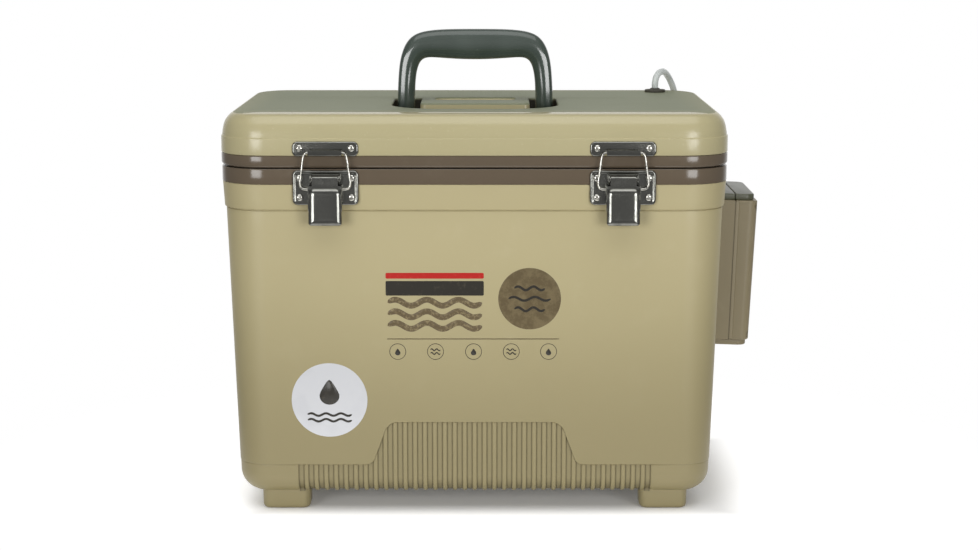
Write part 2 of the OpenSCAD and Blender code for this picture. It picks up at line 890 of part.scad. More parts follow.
module pump_inner_case() {
    color([0.5, 0.46, 0.37])
    pump_at()
        difference() {
            union() {
                difference() {
                    translate([soft_gap, -pump_d / 2, body_low])
                        cube([pump_inner_reach - soft_gap, pump_d, -cap_h - body_low]);
                    translate([inside_x, -hollow_d / 2, body_low + case_t])
                        cube([pump_reach, hollow_d, hollow_h]);
                }
                for (y = [-1, 1], z = [-1, 1])
                    translate([inside_x, board_y + y * post_dy, button_z + z * post_dz])
                        bar_out(post_r, board_x - inside_x);
                for (y = [-1, 1], z = [-1, 1])
                    translate([back_x, y * case_screw_y, case_screw_mid + z * case_screw_dz])
                        bar_out(case_boss_r, pump_inner_reach - back_x);
            }
            translate([-1, -bracket_w / 2 - 0.2, bracket_low - 0.2])
                cube([bracket_t + 1 + EPS, bracket_w + 0.4, bracket_h + 0.4]);
            for (y = [-1, 1], z = [-1, 1])
                translate([0, y * bracket_screw_y, -pump_h / 2 + z * bracket_screw_z])
                    bar_out(screw_head_r + 0.4, back_x);
            for (y = [-1, 1], z = [-1, 1])
                translate([pump_inner_reach, y * case_screw_y, case_screw_mid + z * case_screw_dz])
                    bar_x(screw_r, 2 * (case_screw_grip + side_gap));
        }
}

case_screw_in = 5;
case_screw_y = pump_d / 2 - case_screw_in;
case_screw_mid = (body_low - cap_h) / 2;
case_screw_dz = (-cap_h - body_low) / 2 - case_screw_in;
case_boss_r = 3.4;
case_screw_grip = 7.5;
button_y = 18;
button_z = -56;
nozzle_collar_r = 4.2;
nozzle_x = seal_x + nozzle_collar_r + 1.5;
nozzle_z = -18;
module pump_outer_case() {
    color([0.52, 0.48, 0.38])
    pump_at()
        difference() {
            union() {
                difference() {
                    outer_form(0, body_low, -cap_h);
                    outer_form(case_t, body_low + case_t, -cap_h - case_t, -1);
                }
                for (y = [-1, 1], z = [-1, 1])
                    translate([seal_x, y * case_screw_y, case_screw_mid + z * case_screw_dz])
                        bar_out(case_boss_r, pump_reach - seal_x - 3);
            }
            translate([pump_reach, button_y, button_z])
                bar_x(button_d / 2 + 0.2, 4 * case_t);
            for (y = [-1, 1], z = [-1, 1])
                translate([0, y * case_screw_y, case_screw_mid + z * case_screw_dz]) {
                    bar_out(screw_r + 0.15, 2 * pump_reach);
                    translate([case_head_x, 0, 0]) bar_out(screw_head_r + 0.2, pump_reach);
                }
            translate([nozzle_x, pump_d / 2, nozzle_z]) bar_y(nozzle_collar_r, 6 * case_t);
        }
}
case_head_x = pump_reach - 6;
module outer_form(inset, z0, z1, back = 0) {
    hull()
        for (z = [z0, z1 - EPS])
            translate([0, 0, z])
                linear_extrude(EPS)
                    half_plan(seal_x + back, outer_x(z) - inset, pump_d - 2 * inset, case_corner - inset);
}

hollow_d = pump_d - 2 * case_t;
hollow_h = -cap_h - body_low - 2 * case_t;
boss_clear = 2 * case_boss_r + 2;
seal_inset = 0.6;
module pump_seal() {
    color([0.15, 0.15, 0.15])
    pump_at()
        difference() {
            translate([pump_inner_reach, -pump_d / 2 + seal_inset, body_low + seal_inset])
                cube([seal_t, pump_d - 2 * seal_inset, -cap_h - body_low - 2 * seal_inset]);
            translate([pump_inner_reach - 1, -hollow_d / 2 + 2 * case_boss_r, body_low + case_t])
                cube([seal_t + 2, hollow_d - 4 * case_boss_r, hollow_h]);
            translate([pump_inner_reach - 1, -hollow_d / 2, body_low + case_t + boss_clear])
                cube([seal_t + 2, hollow_d, hollow_h - 2 * boss_clear]);
            for (y = [-1, 1], z = [-1, 1])
                translate([pump_inner_reach, y * case_screw_y, case_screw_mid + z * case_screw_dz])
                    bar_x(screw_r + 0.1, 6);
        }
}

module pump_cap() {
    color([0.56, 0.57, 0.51])
    pump_at()
        translate([0, 0, -cap_h])
            linear_extrude(cap_h)
                half_plan(collar_clear, pump_reach - cap_inset, pump_d - 2 * cap_inset, case_corner);
}
module pump_base_cap() {
    base_x = pump_reach - base_cap_inset - outer_taper;
    color([0.5, 0.46, 0.37])
    pump_at()
        difference() {
            translate([0, 0, -pump_h])
                linear_extrude(base_cap_h)
                    half_plan(soft_gap, base_x, pump_d - 2 * base_cap_inset, case_corner);
            translate([socket_x - socket_d / 2 - 0.2, socket_y - socket_w / 2 - 0.2, -pump_h - 1])
                cube([socket_d + 0.4, socket_w + 0.4, base_cap_h + 2]);
        }
}
module pump_case_screws() {
    color([0.72, 0.72, 0.7])
    pump_at()
        for (y = [-1, 1], z = [-1, 1])
            translate([case_head_x, y * case_screw_y, case_screw_mid + z * case_screw_dz])
                rotate([0, 0, 90]) screw(case_head_x - pump_inner_reach + case_screw_grip);
}

cell_len = 65;
cell_x = inside_x + soft_gap + cell_d / 2;
cell_y = -5;
cell_low_z = body_low + case_t + soft_gap + cell_d / 2;
module pump_battery_cells() {
    color([0.2, 0.4, 0.62])
    pump_at()
        for (k = [0, 1])
            translate([cell_x, cell_y, cell_low_z + k * (cell_d + soft_gap)])
                bar_y(cell_d / 2, cell_len);
}

board_t = 1.6;
board_w = 44;
board_h = 46;
board_y = 18;
post_r = 2.5;
post_dy = board_w / 2 - 4;
post_dz = board_h / 2 - 4;
module pump_circuit_board() {
    color([0.12, 0.36, 0.2])
    pump_at()
        translate([board_x, board_y - board_w / 2, button_z - board_h / 2])
            cube([board_t, board_w, board_h]);
}
switch_t = 4;
switch_w = 6;
button_flange_t = 1.2;
button_play = 0.15;
switch_x = outer_x(button_z) - case_t - button_flange_t - button_travel - 2 * button_play;
board_x = switch_x - switch_t - board_t;
module pump_switch() {
    color([0.1, 0.1, 0.1])
    pump_at()
        translate([switch_x - switch_t, button_y - switch_w / 2, button_z - switch_w / 2])
            cube([switch_t, switch_w, switch_w]);
}
module pump_button() {
    face_x = outer_x(button_z) + 1;
    back_of_flange = switch_x + button_travel + button_play;
    color([0.16, 0.17, 0.17])
    pump_at()
        translate([0, button_y, button_z]) {
            translate([back_of_flange, 0, 0]) bar_out(button_d / 2, face_x - back_of_flange);
            translate([back_of_flange, 0, 0]) bar_out(button_d / 2 + 1.4, button_flange_t);
        }
}

socket_d = 7;
socket_w = 9;
socket_x = 20;
socket_y = 35;
module pump_charge_socket() {
    color([0.7, 0.7, 0.72])
    pump_at()
        translate([socket_x - socket_d / 2, socket_y - socket_w / 2, -pump_h + 1])
            difference() {
                cube([socket_d, socket_w, base_cap_h - 1]);
                translate([2, 1.2, -EPS]) cube([socket_d - 4, socket_w - 2.4, 3]);
            }
}

motor_len = 31;
motor_y = -40;
motor_x = inside_x + soft_gap + motor_d / 2;
motor_z = -cap_h - case_t - 2.5 - motor_d / 2;
module pump_motor() {
    color([0.7, 0.7, 0.7])
    pump_at()
        translate([motor_x, motor_y + motor_len / 2, motor_z])
            difference() {
                union() {
                    bar_y(motor_d / 2, motor_len);
                    translate([0, motor_len / 2 + 1, 0]) bar_y(3.5, 2);
                }
                translate([0, motor_len / 2, 0]) bar_y(1 + run_fit, 12);
            }
}
cam_y = motor_y + motor_len + 2.4;
module pump_cam() {
    color([0.85, 0.85, 0.82])
    pump_at()
        translate([motor_x, cam_y, motor_z]) {
            translate([0, 2.5, 0]) bar_y(6.5, 5);
            translate([0, -3, 0]) bar_y(1, 7);
            translate([3, 6.5, 0]) bar_y(1.2, 3);
        }
}
diaphragm_y = cam_y + 9;
diaphragm_t = 2;
module pump_diaphragm() {
    color([0.12, 0.12, 0.12])
    pump_at()
        translate([motor_x, diaphragm_y + diaphragm_t / 2, motor_z])
            bar_y(10.5, diaphragm_t);
}
head_len = 24;
head_y = diaphragm_y + diaphragm_t;
module pump_head() {
    color([0.85, 0.85, 0.8])
    pump_at()
        translate([motor_x, head_y + head_len / 2, motor_z])
            bar_y(motor_d / 2, head_len);
}
nozzle_len = 9;
nozzle_tip_y = pump_d / 2 + nozzle_len;
module pump_nozzle() {
    inner_y = head_y + head_len;
    collar_y = pump_d / 2 + 2;
    color([0.2, 0.2, 0.2])
    pump_at()
        translate([nozzle_x, 0, nozzle_z])
            difference() {
                union() {
                    translate([0, (inner_y + collar_y) / 2, 0])
                        bar_y(nozzle_collar_r, collar_y - inner_y);
                    translate([0, (pump_d / 2 + nozzle_tip_y) / 2, 0])
                        bar_y(2.8, nozzle_len);
                }
                translate([0, nozzle_tip_y, 0]) bar_y(1.4, 60);
            }
}

// ---- Air line ----

module tube_grommet() {
    color([0.2, 0.2, 0.19])
    translate([grommet_x, grommet_y, 0])
        difference() {
            union() {
                translate([0, 0, lid_top_z]) cylinder(r = grommet_d / 2, h = grommet_h - 1);
                translate([0, 0, lid_top_z + grommet_h - 1])
                    cylinder(r1 = grommet_d / 2, r2 = grommet_d / 2 - 1, h = 1);
                translate([0, 0, plug_z - 2])
                    cylinder(r = grommet_neck_r, h = lid_top_z - plug_z + 2 + EPS);
            }
            translate([0, 0, plug_z - 3]) cylinder(r = 1.6, h = lid_h + plug_h + 12);
        }
}

// Each route starts with points measured from the grommet and ends with points measured from
// where it is pushed on: the nozzle's tip outside, the air stone's stem inside
nozzle_tip = [
    pump_wall_x + nozzle_x * cos(pump_lean) + nozzle_z * sin(pump_lean),
    nozzle_tip_y,
    pump_top_z - nozzle_x * sin(pump_lean) + nozzle_z * cos(pump_lean)
];
from_grommet = [
    [0, 0, 4], [0, 0, 8], [1, 2.5, 12.8], [3.5, 8, 16.4], [7, 16, 17.8], [10.5, 25, 17],
    [14, 34, 13.6], [18, 42, 7.2], [21.5, 48, -1], [24, 51, -12], [26, 52, -24]
];
to_nozzle = [
    [-37.7, 88, 59.4], [-33.2, 84, 46.4], [-26.7, 78, 34.4], [-19.7, 69, 23.4], [-12.7, 57, 14.4],
    [-6.7, 43, 7.4], [-2.7, 29, 2.9], [-0.4, 17, 0.7], [0, 8, 0], [0, 0, 0]
];
outside_route = concat(
    [for (p = from_grommet) p + [grommet_x, grommet_y, lid_top_z]],
    [for (p = to_nozzle) p + nozzle_tip]
);
stone_lift = 0.2;
stone_in_x = 3;
stone_in_y = 48;
stone_end = [grommet_x - stone_in_x, grommet_y - stone_in_y, floor_z + stone_d / 2 + stone_lift];
from_plug = [[0, 0, -2], [0, 0, -16], [-0.5, 0, -36], [-1.5, -1, -61]];
to_stone = [
    [0, 41.5, 95.8], [0, 40, 70.8], [0, 38, 47.8], [0, 34, 27.8], [0, 27, 12.8], [0, 18, 3.3],
    [0, 9, 0], [0, 0, 0]
];
inside_route = concat(
    [for (p = from_plug) p + [grommet_x, grommet_y, plug_z]],
    [for (p = to_stone) p + stone_end]
);
tube_sides = 10;
function unit(v) = v / norm(v);
function heading(p, k) =
    unit(
        k == 0 ? p[1] - p[0] :
        k == len(p) - 1 ? p[k] - p[k - 1] :
        unit(p[k + 1] - p[k]) + unit(p[k] - p[k - 1])
    );
// Each ring's first direction is the last ring's, turned square to the new heading
function across(p, k, seed) =
    let (h = heading(p, k), before = k == 0 ? seed : across(p, k - 1, seed))
        unit(before - (before * h) * h);
function tube_points(p, r, seed) = [
    for (k = [0 : len(p) - 1])
        let (h = heading(p, k), u = across(p, k, seed), v = cross(h, u))
            for (s = [0 : tube_sides - 1])
                p[k] + r * (cos(360 * s / tube_sides) * u + sin(360 * s / tube_sides) * v)
];
function tube_faces(rings) = concat(
    [[for (s = [0 : tube_sides - 1]) s]],
    [for (k = [0 : rings - 2], s = [0 : tube_sides - 1])
        let (a = k * tube_sides, b = a + tube_sides, n = (s + 1) % tube_sides) [b + n, a + n, a + s]],
    [for (k = [0 : rings - 2], s = [0 : tube_sides - 1])
        let (a = k * tube_sides, b = a + tube_sides, n = (s + 1) % tube_sides) [b + s, b + n, a + s]],
    [[for (s = [tube_sides - 1 : -1 : 0]) (rings - 1) * tube_sides + s]]
);
module tube(route, r, seed) { polyhedron(tube_points(route, r, seed), tube_faces(len(route))); }
module air_tube_outside() { color([0.85, 0.88, 0.86]) tube(outside_route, tube_d / 2, [1, 0, 0]); }
module air_tube_inside() { color([0.85, 0.88, 0.86]) tube(inside_route, tube_d / 2, [1, 0, 0]); }

stone_stem = 8;
module air_stone() {
    color([0.55, 0.6, 0.66])
    translate(stone_end) {
        translate([0, -stone_len / 2 - stone_stem, 0]) bar_y(stone_d / 2, stone_len);
        translate([0, -stone_stem / 2, 0]) bar_y(tube_d / 2, stone_stem);
    }
}

// The origin is the middle of the whole box on the ground, the pump and latches included
pump_out_x = pump_wall_x + pump_reach + 1;
shift_x = (pump_out_x - lid_w / 2) / 2;
shift_y = (hinge_y + knuckle_r + lever_y + lever_tip) / 2;
module placed() { translate([-shift_x, -shift_y, 0]) children(); }

placed() tub_outer_shell();
placed() tub_insulation();
placed() tub_liner();
placed() tub_rim_frame();
placed() capacity_label();
placed() lid_outer_shell();
placed() lid_trim_band();
placed() lid_insulation();
placed() lid_liner();
placed() lid_gasket();
placed() handle();
placed() handle_pins();
placed() latch_base_plate_left();
placed() latch_base_plate_right();
placed() latch_base_screws();
placed() latch_lever_pins();
placed() latch_lever_left();
placed() latch_lever_right();
placed() latch_bail_left();
placed() latch_bail_right();
placed() latch_keeper_left();
placed() latch_keeper_right();
placed() latch_keeper_screws();
placed() hinge_tub_leaves();
placed() hinge_lid_leaves();
placed() hinge_pins();
placed() hinge_tub_screws();
placed() hinge_lid_screws();
placed() pump_bracket();
placed() pump_bracket_screws();
placed() pump_inner_case();
placed() pump_outer_case();
placed() pump_seal();
placed() pump_cap();
placed() pump_base_cap();
placed() pump_case_screws();
placed() pump_battery_cells();
placed() pump_circuit_board();
placed() pump_charge_socket();
placed() pump_switch();
placed() pump_button();
placed() pump_motor();
placed() pump_cam();
placed() pump_diaphragm();
placed() pump_head();
placed() pump_nozzle();
placed() tube_grommet();
placed() air_tube_outside();
placed() air_tube_inside();
placed() air_stone();
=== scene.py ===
"""An insulated live bait box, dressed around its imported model.

The file follows the box as it is put together: the air line first, then the tub, the lid, the
handle, the latches, the hinges and the air pump, and last the room that it stands in. Sizes are
in millimetres, and at() and mm turn them into the scene's metres.
"""
import math

import bmesh
import bpy
from mathutils import Matrix, Vector
from mathutils.geometry import tessellate_polygon


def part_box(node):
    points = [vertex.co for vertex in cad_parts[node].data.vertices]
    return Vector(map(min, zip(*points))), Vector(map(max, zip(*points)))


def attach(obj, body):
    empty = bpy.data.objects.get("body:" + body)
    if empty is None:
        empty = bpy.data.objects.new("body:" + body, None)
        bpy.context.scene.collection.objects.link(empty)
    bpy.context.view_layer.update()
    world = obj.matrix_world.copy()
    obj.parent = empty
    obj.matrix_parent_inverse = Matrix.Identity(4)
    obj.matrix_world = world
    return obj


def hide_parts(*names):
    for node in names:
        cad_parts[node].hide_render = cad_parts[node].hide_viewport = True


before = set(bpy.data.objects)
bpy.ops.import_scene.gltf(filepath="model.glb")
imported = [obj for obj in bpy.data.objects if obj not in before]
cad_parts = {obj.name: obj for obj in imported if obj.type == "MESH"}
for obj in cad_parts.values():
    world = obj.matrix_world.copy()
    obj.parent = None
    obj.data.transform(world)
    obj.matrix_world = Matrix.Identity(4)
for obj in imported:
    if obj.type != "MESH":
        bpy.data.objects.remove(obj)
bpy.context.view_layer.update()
mm = 0.001

# ---- Camera ----
# It stands a little above the handle and right of the box's middle, and looks slightly down. The
# lid's band is as wide and deep as the box gets, so its middle is the box's middle.
band_low, band_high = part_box("lid_trim_band")
middle = Vector(((band_low.x + band_high.x) / 2, (band_low.y + band_high.y) / 2, 0))
box_w = (band_high.x - band_low.x) / mm
box_d = (band_high.y - band_low.y) / mm


def at(x, y, z):
    """A point given in millimetres from the middle of the tub's footprint."""
    return middle + Vector((x, y, z)) * mm


camera_data = bpy.data.cameras.new("camera")
camera_data.sensor_width = 36
camera_data.lens = 78.73
camera = bpy.data.objects.new("camera", camera_data)
camera.location = at(12.3, -1912.8, 499.6)
camera.rotation_euler = (math.radians(80.68), 0, 0)
bpy.context.scene.collection.objects.link(camera)
bpy.context.scene.camera = camera

# ---- Air line ----
# Clear soft tube of 6 mm, pushed on the pump's nozzle. It climbs behind the box's corner, goes
# down through a rubber grommet in the lid, and ends in an air stone on the tub's floor.
tube_d = 6 * mm
grommet_x, grommet_y = 168, 96
from_grommet = [
    (0, 0, 4), (0, 0, 8), (1, 2.5, 12.8), (3.5, 8, 16.4), (7, 16, 17.8), (10.5, 25, 17),
    (14, 34, 13.6),
    (18, 42, 7.2), (21.5, 48, -1), (24, 51, -12), (26, 52, -24),
]
to_nozzle = [
    (-37.7, 88, 59.4), (-33.2, 84, 46.4), (-26.7, 78, 34.4), (-19.7, 69, 23.4), (-12.7, 57, 14.4),
    (-6.7, 43, 7.4), (-2.7, 29, 2.9), (-0.4, 17, 0.7), (0, 8, 0), (0, 0, 0),
]
from_plug = [(0, 0, -2), (0, 0, -16), (-0.5, 0, -36), (-1.5, -1, -61)]
to_stone = [
    (0, 41.5, 95.8), (0, 40, 70.8), (0, 38, 47.8), (0, 34, 27.8), (0, 27, 12.8), (0, 18, 3.3),
    (0, 9, 0), (0, 0, 0),
]
lid_top, plug_low = 344, 286
nozzle_tip, stone_top = (234.66, 59, 247.58), (165, 48, 54.2)


def moved(points, x, y, z):
    return [(px + x, py + y, pz + z) for px, py, pz in points]


outside_route = moved(from_grommet, grommet_x, grommet_y, lid_top) + moved(to_nozzle, *nozzle_tip)
inside_route = moved(from_plug, grommet_x, grommet_y, plug_low) + moved(to_stone, *stone_top)


class Signal:
    """A node's output that takes part in arithmetic: each operator adds a Math node."""

    def __init__(self, finish, socket):
        self.finish = finish
        self.socket = socket

    def math(self, operation, first, second=0.0):
        return self.finish.node("Math", {"operation": operation}, {0: first, 1: second})

    def __add__(self, other):
        return self.math("ADD", self, other)

    __radd__ = __add__

    def __sub__(self, other):
        return self.math("SUBTRACT", self, other)

    def __rsub__(self, other):
        return self.math("SUBTRACT", other, self)

    def __mul__(self, other):
        return self.math("MULTIPLY", self, other)

    __rmul__ = __mul__

    def __abs__(self):
        return self.math("ABSOLUTE", self)

    def step(self, low, high):
        """0 below low, 1 above high, and smooth in between."""
        settings = {"interpolation_type": "SMOOTHSTEP"}
        return self.finish.node("MapRange", settings, {"Value": self, 1: low, 2: high}, "Result")


class Finish:
    """One finish: a Principled shader whose constants are set on its own sockets."""

    def __init__(self, name, **constants):
        self.material = bpy.data.materials.new(name)
        self.material.use_nodes = True
        self.tree = self.material.node_tree
        self.shader = self.tree.nodes["Principled BSDF"]
        for socket, value in constants.items():
            self.shader.inputs[socket.replace("_", " ")].default_value = value

    def node(self, kind, settings=None, inputs=None, output=0):
        """Adds a node, sets its settings, then its inputs, and gives one of its outputs."""
        made = self.tree.nodes.new("ShaderNode" + kind)
        for setting, value in (settings or {}).items():
            setattr(made, setting, value)
        for key, value in (inputs or {}).items():
            self.feed(made.inputs[key], value)
        return Signal(self, made.outputs[output])

    def feed(self, socket, value):
        if isinstance(value, Signal):
            self.tree.links.new(value.socket, socket)
        else:
            socket.default_value = value

    def place(self):
        """Where a point of the surface lies in the row's frame, in metres."""
        return self.node("TexCoord", output="Object")

    def axes(self):
        split = self.node("SeparateXYZ", inputs={"Vector": self.place()}).socket.node
        return [Signal(self, out) for out in split.outputs]

    def noise(self, scale, detail=2, rough=0.5, stretch=(1, 1, 1)):
        scaled = self.node("Mapping", inputs={"Vector": self.place(), "Scale": stretch})
        inputs = {"Vector": scaled, "Scale": scale, "Detail": detail, "Roughness": rough}
        return self.node("TexNoise", inputs=inputs)

    def mix(self, mask, first, second):
        """first where mask is 0, second where it is 1."""
        inputs = {0: mask, 6: first, 7: second}
        return self.node("Mix", {"data_type": "RGBA"}, inputs, 2)

    def colour(self, value):
        self.feed(self.shader.inputs["Base Color"], value)

    def rough(self, value):
        self.feed(self.shader.inputs["Roughness"], value)

    def bump(self, height, depth):
        """Tilts the surface by a height signal from 0 to 1 that is depth millimetres deep."""
        inputs = {"Height": height, "Distance": depth * mm, "Strength": 1}
        self.feed(self.shader.inputs["Normal"], self.node("Bump", inputs=inputs))


def srgb(red, green, blue):
    """A colour as a screen shows it, from 0 to 255, as the linear light that shaders take."""
    light = [((c / 255 + 0.055) / 1.055) ** 2.4 if c > 10 else c / 3294 for c in (red, green, blue)]
    return (*light, 1)


vinyl = Finish("soft_vinyl", IOR=1.45, Alpha=0.82)
cloudy = vinyl.noise(90, 3).step(0.35, 0.7)
vinyl.colour(vinyl.mix(cloudy, srgb(214, 219, 216), srgb(196, 202, 199)))
vinyl.rough(0.18 + cloudy * 0.12)
vinyl.bump(vinyl.noise(400, 1), 0.05)


def put(name, data, finish, body):
    """Adds an object with one finish that rides on a body."""
    piece = bpy.data.objects.new(name, data)
    bpy.context.scene.collection.objects.link(piece)
    data.materials.append(finish.material)
    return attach(piece, body)


def shown(part, node):
    """The piece is seen in a CAD node's place, and the node is hidden."""
    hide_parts(node)
    return part


def round_line(name, finish, body, route, radius, rounds, steps):
    """A round tube or wire through a route of points."""
    line = bpy.data.curves.new(name, "CURVE")
    line.dimensions = "3D"
    line.bevel_depth = radius
    line.bevel_resolution = rounds
    line.resolution_u = steps
    line.use_fill_caps = True
    spline = line.splines.new("BEZIER")
    spline.bezier_points.add(len(route) - 1)
    for knot, point in zip(spline.bezier_points, route):
        knot.co = at(*point)
        knot.handle_left_type = knot.handle_right_type = "AUTO"
    return put(name, line, finish, body)


outside_tube = round_line("outside_tube", vinyl, "tub", outside_route, tube_d / 2, 6, 10)
shown(outside_tube, "air_tube_outside")
inside_tube = round_line("inside_tube", vinyl, "tub", inside_route, tube_d / 2, 6, 10)
shown(inside_tube, "air_tube_inside")

# ---- Tub ----
# A double-walled moulding: its outer skin leans in by two degrees towards the ground, and a
# panel of ribs stands under a low arch on both faces. Below the seam the skin steps back.
body_step, draft = 3.5, math.tan(math.radians(2))
corner_r = 40
corner_x, corner_y = box_w / 2 - corner_r, box_d / 2 - corner_r
foot_h, edge_r = 15, 18
seam_z, arch_z, arch_half = 42, 79.6, 93
seam_step, side_step = 0.8, 0.35
rib_pitch, rib_half, rib_rise, rib_count = 8.5, 2.1, 1.4, 36
panel_half = rib_pitch * rib_count / 2
collar_z, rim_z, parting_z = 263.5, 285, 298


def over(signal, edge, soft):
    """0 up to an edge in millimetres, and 1 past its soft border."""
    return signal.step(edge * mm, (edge + soft) * mm)


def under(signal, edge, soft):
    return 1 - over(signal, edge, soft)


tan = Finish("tan_plastic", IOR=1.46)
side, depth, level = tan.axes()
from_rib = side.math("PINGPONG", side - middle.x + 2 * panel_half * mm, rib_pitch / 2 * mm)
wall_in = box_d / 2 * mm - abs(depth - middle.y) - body_step * mm - (collar_z * mm - level) * draft
on_panel = under(abs(side - middle.x), panel_half + 0.1, 0.4) * over(wall_in, 0.9, 0.7)
on_panel = on_panel * over(level, foot_h + 0.2, 1)
corner_line = over(from_rib, 1.3, 0.8) * under(from_rib, 2.3, 0.9)
in_groove = over(from_rib, 1.8, 0.6)
groove_foot = in_groove * under(level, 19, 12)
drift = tan.noise(5).step(0.3, 0.7)
dust = tan.noise(38, 5, 0.65).step(0.52, 0.8)
clean = tan.mix(drift, srgb(179, 168, 129), srgb(175, 164, 125))
clean = tan.mix(dust * 0.14, clean, srgb(194, 185, 150))
# Painted shade: the wall's colour grows darker towards the bottom, away from the light above.
clean = tan.mix(under(level, 20, 230), clean, srgb(130, 120, 86))
# Painted shade: the rib flanks, the groove floors and most of all the grooves' feet are darkened,
# where shade falls between the ribs.
painted_groove_shade = on_panel * (corner_line * 0.5 + in_groove * 0.12 + groove_foot * 0.4)
tan.colour(tan.mix(painted_groove_shade, clean, srgb(70, 62, 38)))
tan.rough(0.42 + dust * 0.1)
tan.bump(tan.noise(1500, 2, 0.6) * 0.3 + tan.noise(16, 1), 0.03)


def spread(low, high, steps):
    return [low + (high - low) * k / steps for k in range(steps + 1)]


def outline(face_x, side_steps):
    """The box's rounded outline from above: each column's anchor and its way out."""
    side_y = spread(-corner_y, corner_y, side_steps)
    found = []
    for turn, line in enumerate((face_x, side_y, face_x, side_y)):
        angle = math.radians(90 * turn - 90)
        out = Vector((math.cos(angle), math.sin(angle)))
        along = Vector((-out.y, out.x))
        base = out * (corner_x if turn % 2 else corner_y)
        found += [(base + along * place, out) for place in line]
        for bend in spread(angle, angle + math.pi / 2, 18)[1:-1]:
            found.append((base + along * line[-1], Vector((math.cos(bend), math.sin(bend)))))
    return found


def drawn_in(anchor, out, inset, z):
    """A column's point when the outline is drawn in by an inset, at a height."""
    return *(anchor + out * (corner_r - inset)), z


def ring(columns, inset, z):
    return [drawn_in(anchor, out, inset, z) for anchor, out in columns]


def loft(rings, closed=True, caps=(False, False), looped=False):
    """Points and faces of a skin over rings that all have the same number of points."""
    count = len(rings[0])
    faces = []
    for k in range(len(rings) if looped else len(rings) - 1):
        low, high = k * count, (k + 1) % len(rings) * count
        for j in range(count if closed else count - 1):
            n = (j + 1) % count
            faces.append((low + j, low + n, high + n, high + j))
    if caps[0]:
        faces.append(tuple(range(count - 1, -1, -1)))
    if caps[1]:
        faces.append(tuple(range((len(rings) - 1) * count, len(rings) * count)))
    return [point for one in rings for point in one], faces


def joined(*parts):
    """Several sets of points and faces as one."""
    points, faces = [], []
    for part_points, part_faces in parts:
        faces += [tuple(index + len(points) for index in face) for face in part_faces]
        points += part_points
    return points, faces


def piece(name, finish, body, shape, crease=38, move=None):
    """A mesh from points in millimetres, smooth except where it bends more than the crease."""
    points, faces = shape
    work = bmesh.new()
    spots = [work.verts.new(at(*(move @ Vector(p) if move else p))) for p in points]
    for face in faces:
        work.faces.new([spots[index] for index in face])
    bmesh.ops.remove_doubles(work, verts=work.verts, dist=0.001 * mm)
    bmesh.ops.recalc_face_normals(work, faces=work.faces)
    for edge in work.edges:
        edge.smooth = edge.calc_face_angle(0) < math.radians(crease)
    for face in work.faces:
        face.smooth = True
    data = bpy.data.meshes.new(name)
    work.to_mesh(data)
    work.free()
    return put(name, data, finish, body)


def body_inset(z):
    return body_step + (collar_z - z) * draft


def arch_edge(x):
    """Height of the seam at a distance across the face: low at the ends, up in the middle."""
    x = abs(x)
    if x >= arch_half:
        return seam_z
    if x > 85.48:
        return seam_z + 8 - math.sqrt(64 - (arch_half - x) ** 2)
    if x > 76.59:
        return 47.26 + (85.48 - x) * math.tan(math.radians(70))
    if x > 65.31:
        return arch_z - 12 + math.sqrt(144 - (x - 65.31) ** 2)
    return arch_z


def ease(t):
    t = min(max(t, 0), 1)
    return t * t * (3 - 2 * t)


def groove(anchor, out):
    """How deep the wall lies between ribs at a column: 0 on a rib's crown, 1 in a groove."""
    if abs(out.x) > 0.01 or abs(anchor.x) > panel_half:
        return 0
    off = (anchor.x + panel_half) % rib_pitch
    off = min(off, rib_pitch - off)
    return 1 - math.sqrt(1 - (off / rib_half) ** 2) if off < rib_half else 1


def ledge(anchor, out):
    if abs(out.x) > 0.01:
        return side_step
    return side_step + (seam_step - side_step) * ease((162 - abs(anchor.x)) / 10)


